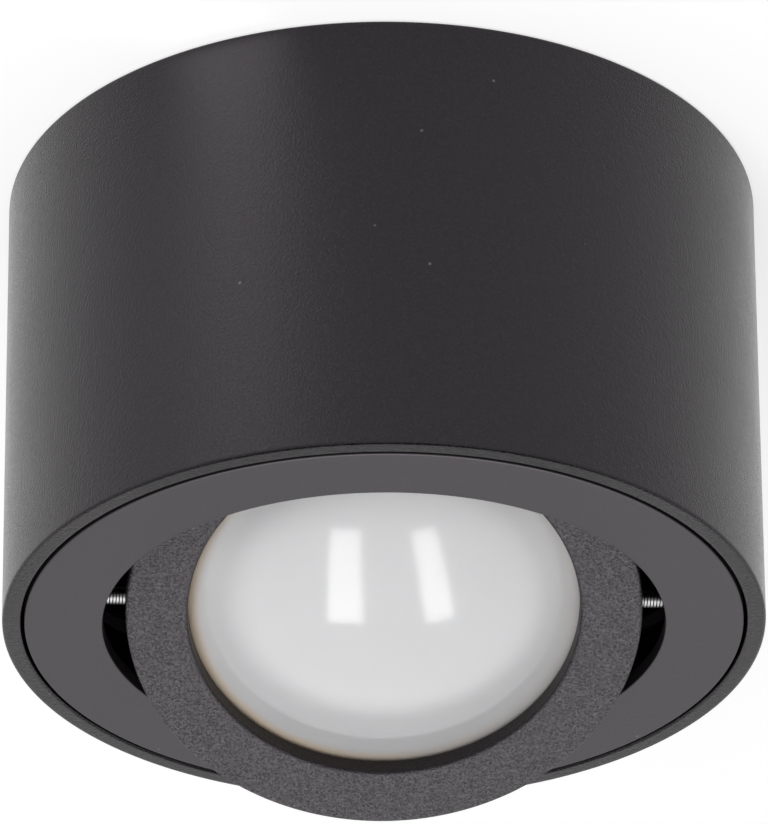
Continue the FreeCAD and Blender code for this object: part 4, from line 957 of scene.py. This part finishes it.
PIVOT_DIAMETER, PIVOT_LENGTH, PIVOT_PITCH, PIVOT_SOCKET, PIVOT_REACH = 3.0, 12.0, 0.5, 1.5, 50.2
end_plug = grub_end(PIVOT_DIAMETER)
thread = threaded_steel()
pivot_places = [((side * PIVOT_REACH, 0, PIVOT_Z), (-side, 0, 0)) for side in (-1, 1)]
pivots = grow("pivot_grub_screws", places_mesh("pivots", pivot_places), threaded_screws, {
    "Diameter": PIVOT_DIAMETER * MM, "Length": PIVOT_LENGTH * MM, "Pitch": PIVOT_PITCH * MM, "Head": end_plug,
    "Recess": PIVOT_SOCKET * MM, "Recess Depth": 1.7 * MM, "Recess Top": -0.2 * MM, "Material": thread})
bpy.data.objects.remove(end_plug)
show(pivots, "trim", "zinc_steel", thread, "pivot_screws")
print("pivot screws reach from %.2f to %.2f mm" % (
    min(v.co.x for v in pivots.data.vertices) / MM, max(v.co.x for v in pivots.data.vertices) / MM))


# %% [markdown]
# ## Leads
#
# Each pair of leads crosses a joint: the first pair ends in the sleeve that turns with the front plate,
# the second pair ends on the tilting head. A rigid lead would tear away from one of them as the joint moves;
# a merged copy of each CAD lead takes its place here, tied to neither body. Its path is already smooth in CAD.

# %% Merged copies of the leads
def bending_lead(node, slot, first_body, second_body):
    """A merged copy of a CAD lead in place of the node; the two bodies only go into the printed line."""
    shape = bmesh.new()
    shape.from_mesh(frame["nodes"][node].data)
    piece = finish_mesh(node + "_flexible", shape, 60.0)
    piece.data.materials.append(finishes[slot])
    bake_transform(piece)
    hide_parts(node)
    print("%-24s bends from %s to %s" % (piece.name, first_body, second_body))


for core, colour in (("neutral", "insulation_blue"), ("live", "insulation_brown")):
    bending_lead(core + "_supply_lead", colour, "housing", "trim")
    bending_lead(core + "_lamp_lead", colour, "trim", "head")


# %% [markdown]
# ## Ceiling, light and background
#
# The light hangs from a white ceiling, which takes the place of a floor. The plane is 0.2 mm above the
# object's top face, so the two never share a depth. Seen from above it is see-through, so views from
# above still show the object. It keeps the object's soft shadow, and for the camera, for mirrors and for
# glass it also glows a little, so it comes out white.

# %% Ceiling
def flat_square(name, half_x, half_y, place, material):
    """A flat rectangle that faces down."""
    mesh = bpy.data.meshes.new(name)
    mesh.from_pydata([(-half_x, -half_y, 0), (-half_x, half_y, 0), (half_x, half_y, 0), (half_x, -half_y, 0)],
                     [], [(0, 1, 2, 3)])
    mesh.transform(place)
    mesh.materials.append(material)
    square = bpy.data.objects.new(name, mesh)
    bpy.context.scene.collection.objects.link(square)
    return square


def seen_directly(tree):
    """1 for rays from the camera, a mirror or a glass, otherwise 0."""
    path = add_node(tree, "ShaderNodeLightPath").outputs
    mirrored = maths(tree, "MAXIMUM", path["Is Glossy Ray"], path["Is Transmission Ray"])
    return maths(tree, "MAXIMUM", path["Is Camera Ray"], mirrored)


def ceiling_paint(shade, own_glow):
    """White paint that is see-through from above."""
    material, tree, shader = new_material("ceiling_paint", Roughness=0.9, Base_Color=grey(shade),
                                          Emission_Color=grey(1.0))
    feed(tree, shader, Emission_Strength=maths(tree, "MULTIPLY", seen_directly(tree), own_glow))
    clear = add_node(tree, "ShaderNodeBsdfTransparent")
    back = add_node(tree, "ShaderNodeNewGeometry").outputs["Backfacing"]
    mix = add_node(tree, "ShaderNodeMixShader", Fac=back, _1=shader.outputs[0], _2=clear.outputs[0])
    feed(tree, tree.nodes["Material Output"], Surface=mix.outputs[0])
    return material


ceiling = flat_square("ceiling", 4.0, 4.0, Matrix.Translation((0, 0, 0.0002)), ceiling_paint(0.50, 0.61))
print("ceiling:", ceiling.name)


# %% [markdown]
# The world is plain white where the camera or a mirror sees it, and a little dimmer as a lamp.

# %% World
def plain_world(as_lamp):
    """A white surround."""
    world = bpy.data.worlds.new("plain_white")
    world.use_nodes = True
    tree = world.node_tree
    background = tree.nodes["Background"]
    background.inputs["Color"].default_value = grey(1.0)
    feed(tree, background, Strength=ramp(tree, seen_directly(tree), 0.0, 1.0, as_lamp, 1.0))
    bpy.context.scene.world = world
    print("world:", world.name, "as a lamp", as_lamp)


plain_world(0.58)


# %% [markdown]
# A round soft box below gives the bright middle of the dome and, past its soft edge, the darker crescent.
# Two narrow strips in front of it give the dome's two bars. They are stage pieces that only mirrors see,
# and light linking keeps them to the pieces that face down, so the housing's wall has no glare from above.

# %% Soft box and strips
SOFT_BOX_PLACE, SOFT_BOX_HALF, SOFT_BOX_GLOW = Vector((0.06, 0.02, -1.0)), 1.1, 4.4
SOFT_BOX_FULL, SOFT_BOX_END = 0.62, 0.95
STRIP_Y, STRIP_Z, STRIP_HALF_LENGTH, STRIP_TURN_DEG, STRIP_GLOW = -0.152, -0.99, 0.26, -4.7, 11.0
FACING_UP = Matrix.Rotation(math.pi, 4, "X")


def glow_material(name, strength, fade=None):
    """A glow; the fade makes the value that is 0 where it shines and 1 where it is see-through."""
    material, tree, shader = new_material(name)
    tree.nodes.remove(shader)
    surface = add_node(tree, "ShaderNodeEmission", Color=grey(1.0), Strength=strength).outputs[0]
    if fade is not None:
        clear = add_node(tree, "ShaderNodeBsdfTransparent").outputs[0]
        surface = add_node(tree, "ShaderNodeMixShader", Fac=fade(tree), _1=surface, _2=clear).outputs[0]
    feed(tree, tree.nodes["Material Output"], Surface=surface)
    return material


def round_fade(tree):
    """The fade of a round soft box, from full glow to nothing."""
    flat = vectors(tree, "MULTIPLY", object_place(tree), (1, 1, 0))
    from_middle = vectors(tree, "DISTANCE", flat, (SOFT_BOX_PLACE.x, SOFT_BOX_PLACE.y, 0), "Value")
    return ramp(tree, from_middle, SOFT_BOX_FULL, SOFT_BOX_END, shape="SMOOTHSTEP")


def mirror_only(piece):
    """Seen by mirrors, and by nothing else."""
    piece.visible_camera = piece.visible_diffuse = piece.visible_shadow = False
    piece.visible_transmission = piece.visible_volume_scatter = False


lit_from_below = bpy.data.collections.new("lit_from_below")
for piece in (plate, ring, dome, pivots):
    lit_from_below.objects.link(piece)
glows = [flat_square("soft_box", SOFT_BOX_HALF, SOFT_BOX_HALF, Matrix.Translation(SOFT_BOX_PLACE) @ FACING_UP,
                     glow_material("soft_box_glow", SOFT_BOX_GLOW, round_fade))]
for name, x, half_width in (("left_strip", -0.156, 0.073), ("right_strip", 0.2305, 0.062)):
    turn = Matrix.Rotation(math.radians(STRIP_TURN_DEG), 4, "Z")
    glows.append(flat_square(name, half_width, STRIP_HALF_LENGTH,
                             Matrix.Translation((x, STRIP_Y, STRIP_Z)) @ turn @ FACING_UP,
                             glow_material(name + "_glow", STRIP_GLOW)))
for glow in glows:
    mirror_only(glow)
    glow.light_linking.receiver_collection = lit_from_below
print("seen in mirrors:", [glow.name for glow in glows])


# %% [markdown]
# The housing's wall mirrors the ceiling, so its soft upright band of light, left of the middle, comes from a
# brighter part of the ceiling. That part is a fan which spreads from halfway between the wall and the axis,
# where a round wall seems to gather light that comes from far away. Only mirrors see this fan too.

# %% Bright fan on the ceiling
FAN_FOCUS, FAN_INNER, FAN_OUTER, FAN_Z = Vector((0, -0.030, 0)), 0.0615, 0.32, 0.0001
FAN_MIDDLE_DEG, FAN_HALF_DEG, FAN_SOFT_DEG = 45.0, 5.0, 22.0
FAN_SPAN_DEG, FAN_STEPS, FAN_GLOW = 85.0, 24, 2.4


def fan_fade(tree):
    """The fan's fade, to both sides of one direction from its focus."""
    offset = vectors(tree, "SUBTRACT", object_place(tree), tuple(FAN_FOCUS))
    parts = add_node(tree, "ShaderNodeSeparateXYZ", Vector=offset).outputs
    left, front = (maths(tree, "MULTIPLY", parts[axis], -1.0) for axis in "XY")
    angle = maths(tree, "ARCTAN2", left, front)
    away = maths(tree, "ABSOLUTE", maths(tree, "SUBTRACT", angle, math.radians(FAN_MIDDLE_DEG)))
    return ramp(tree, away, math.radians(FAN_HALF_DEG), math.radians(FAN_SOFT_DEG), shape="SMOOTHSTEP")


def fan_mesh():
    """A flat part of a ring on the ceiling, from -Y towards -X."""
    turns = [math.radians(FAN_SPAN_DEG * step / FAN_STEPS) for step in range(FAN_STEPS + 1)]
    rims = [(-radius * math.sin(a), -radius * math.cos(a), FAN_Z) for radius in (FAN_INNER, FAN_OUTER)
            for a in turns]
    mesh = bpy.data.meshes.new("ceiling_fan")
    mesh.from_pydata(rims, [], [(i, i + 1, i + FAN_STEPS + 2, i + FAN_STEPS + 1) for i in range(FAN_STEPS)])
    mesh.materials.append(glow_material("ceiling_fan_glow", FAN_GLOW, fan_fade))
    return mesh


ceiling_fan = bpy.data.objects.new("ceiling_fan", fan_mesh())
bpy.context.scene.collection.objects.link(ceiling_fan)
mirror_only(ceiling_fan)
print("fan on the ceiling, %.0f to %.0f mm from the axis" % (FAN_INNER / MM, FAN_OUTER / MM))


# %% [markdown]
# One large lamp from below lights matt surfaces softly. It is kept out of mirrors, because the soft box
# already stands there.

# %% Large lamp below
def area_lamp(name, place, target, size, power):
    """A square lamp aimed at a point."""
    lamp = bpy.data.objects.new(name, bpy.data.lights.new(name, "AREA"))
    lamp.data.shape, lamp.data.size, lamp.data.energy = "SQUARE", size, power
    lamp.location = place
    lamp.rotation_euler = (Vector(target) - Vector(place)).to_track_quat("-Z", "Y").to_euler()
    lamp.visible_glossy = False
    bpy.context.scene.collection.objects.link(lamp)
    print("lamp:", name, power, "W")


area_lamp("lamp_in_front", (-0.3, -0.95, -0.78), (0, 0, -0.05), 0.9, 9.0)
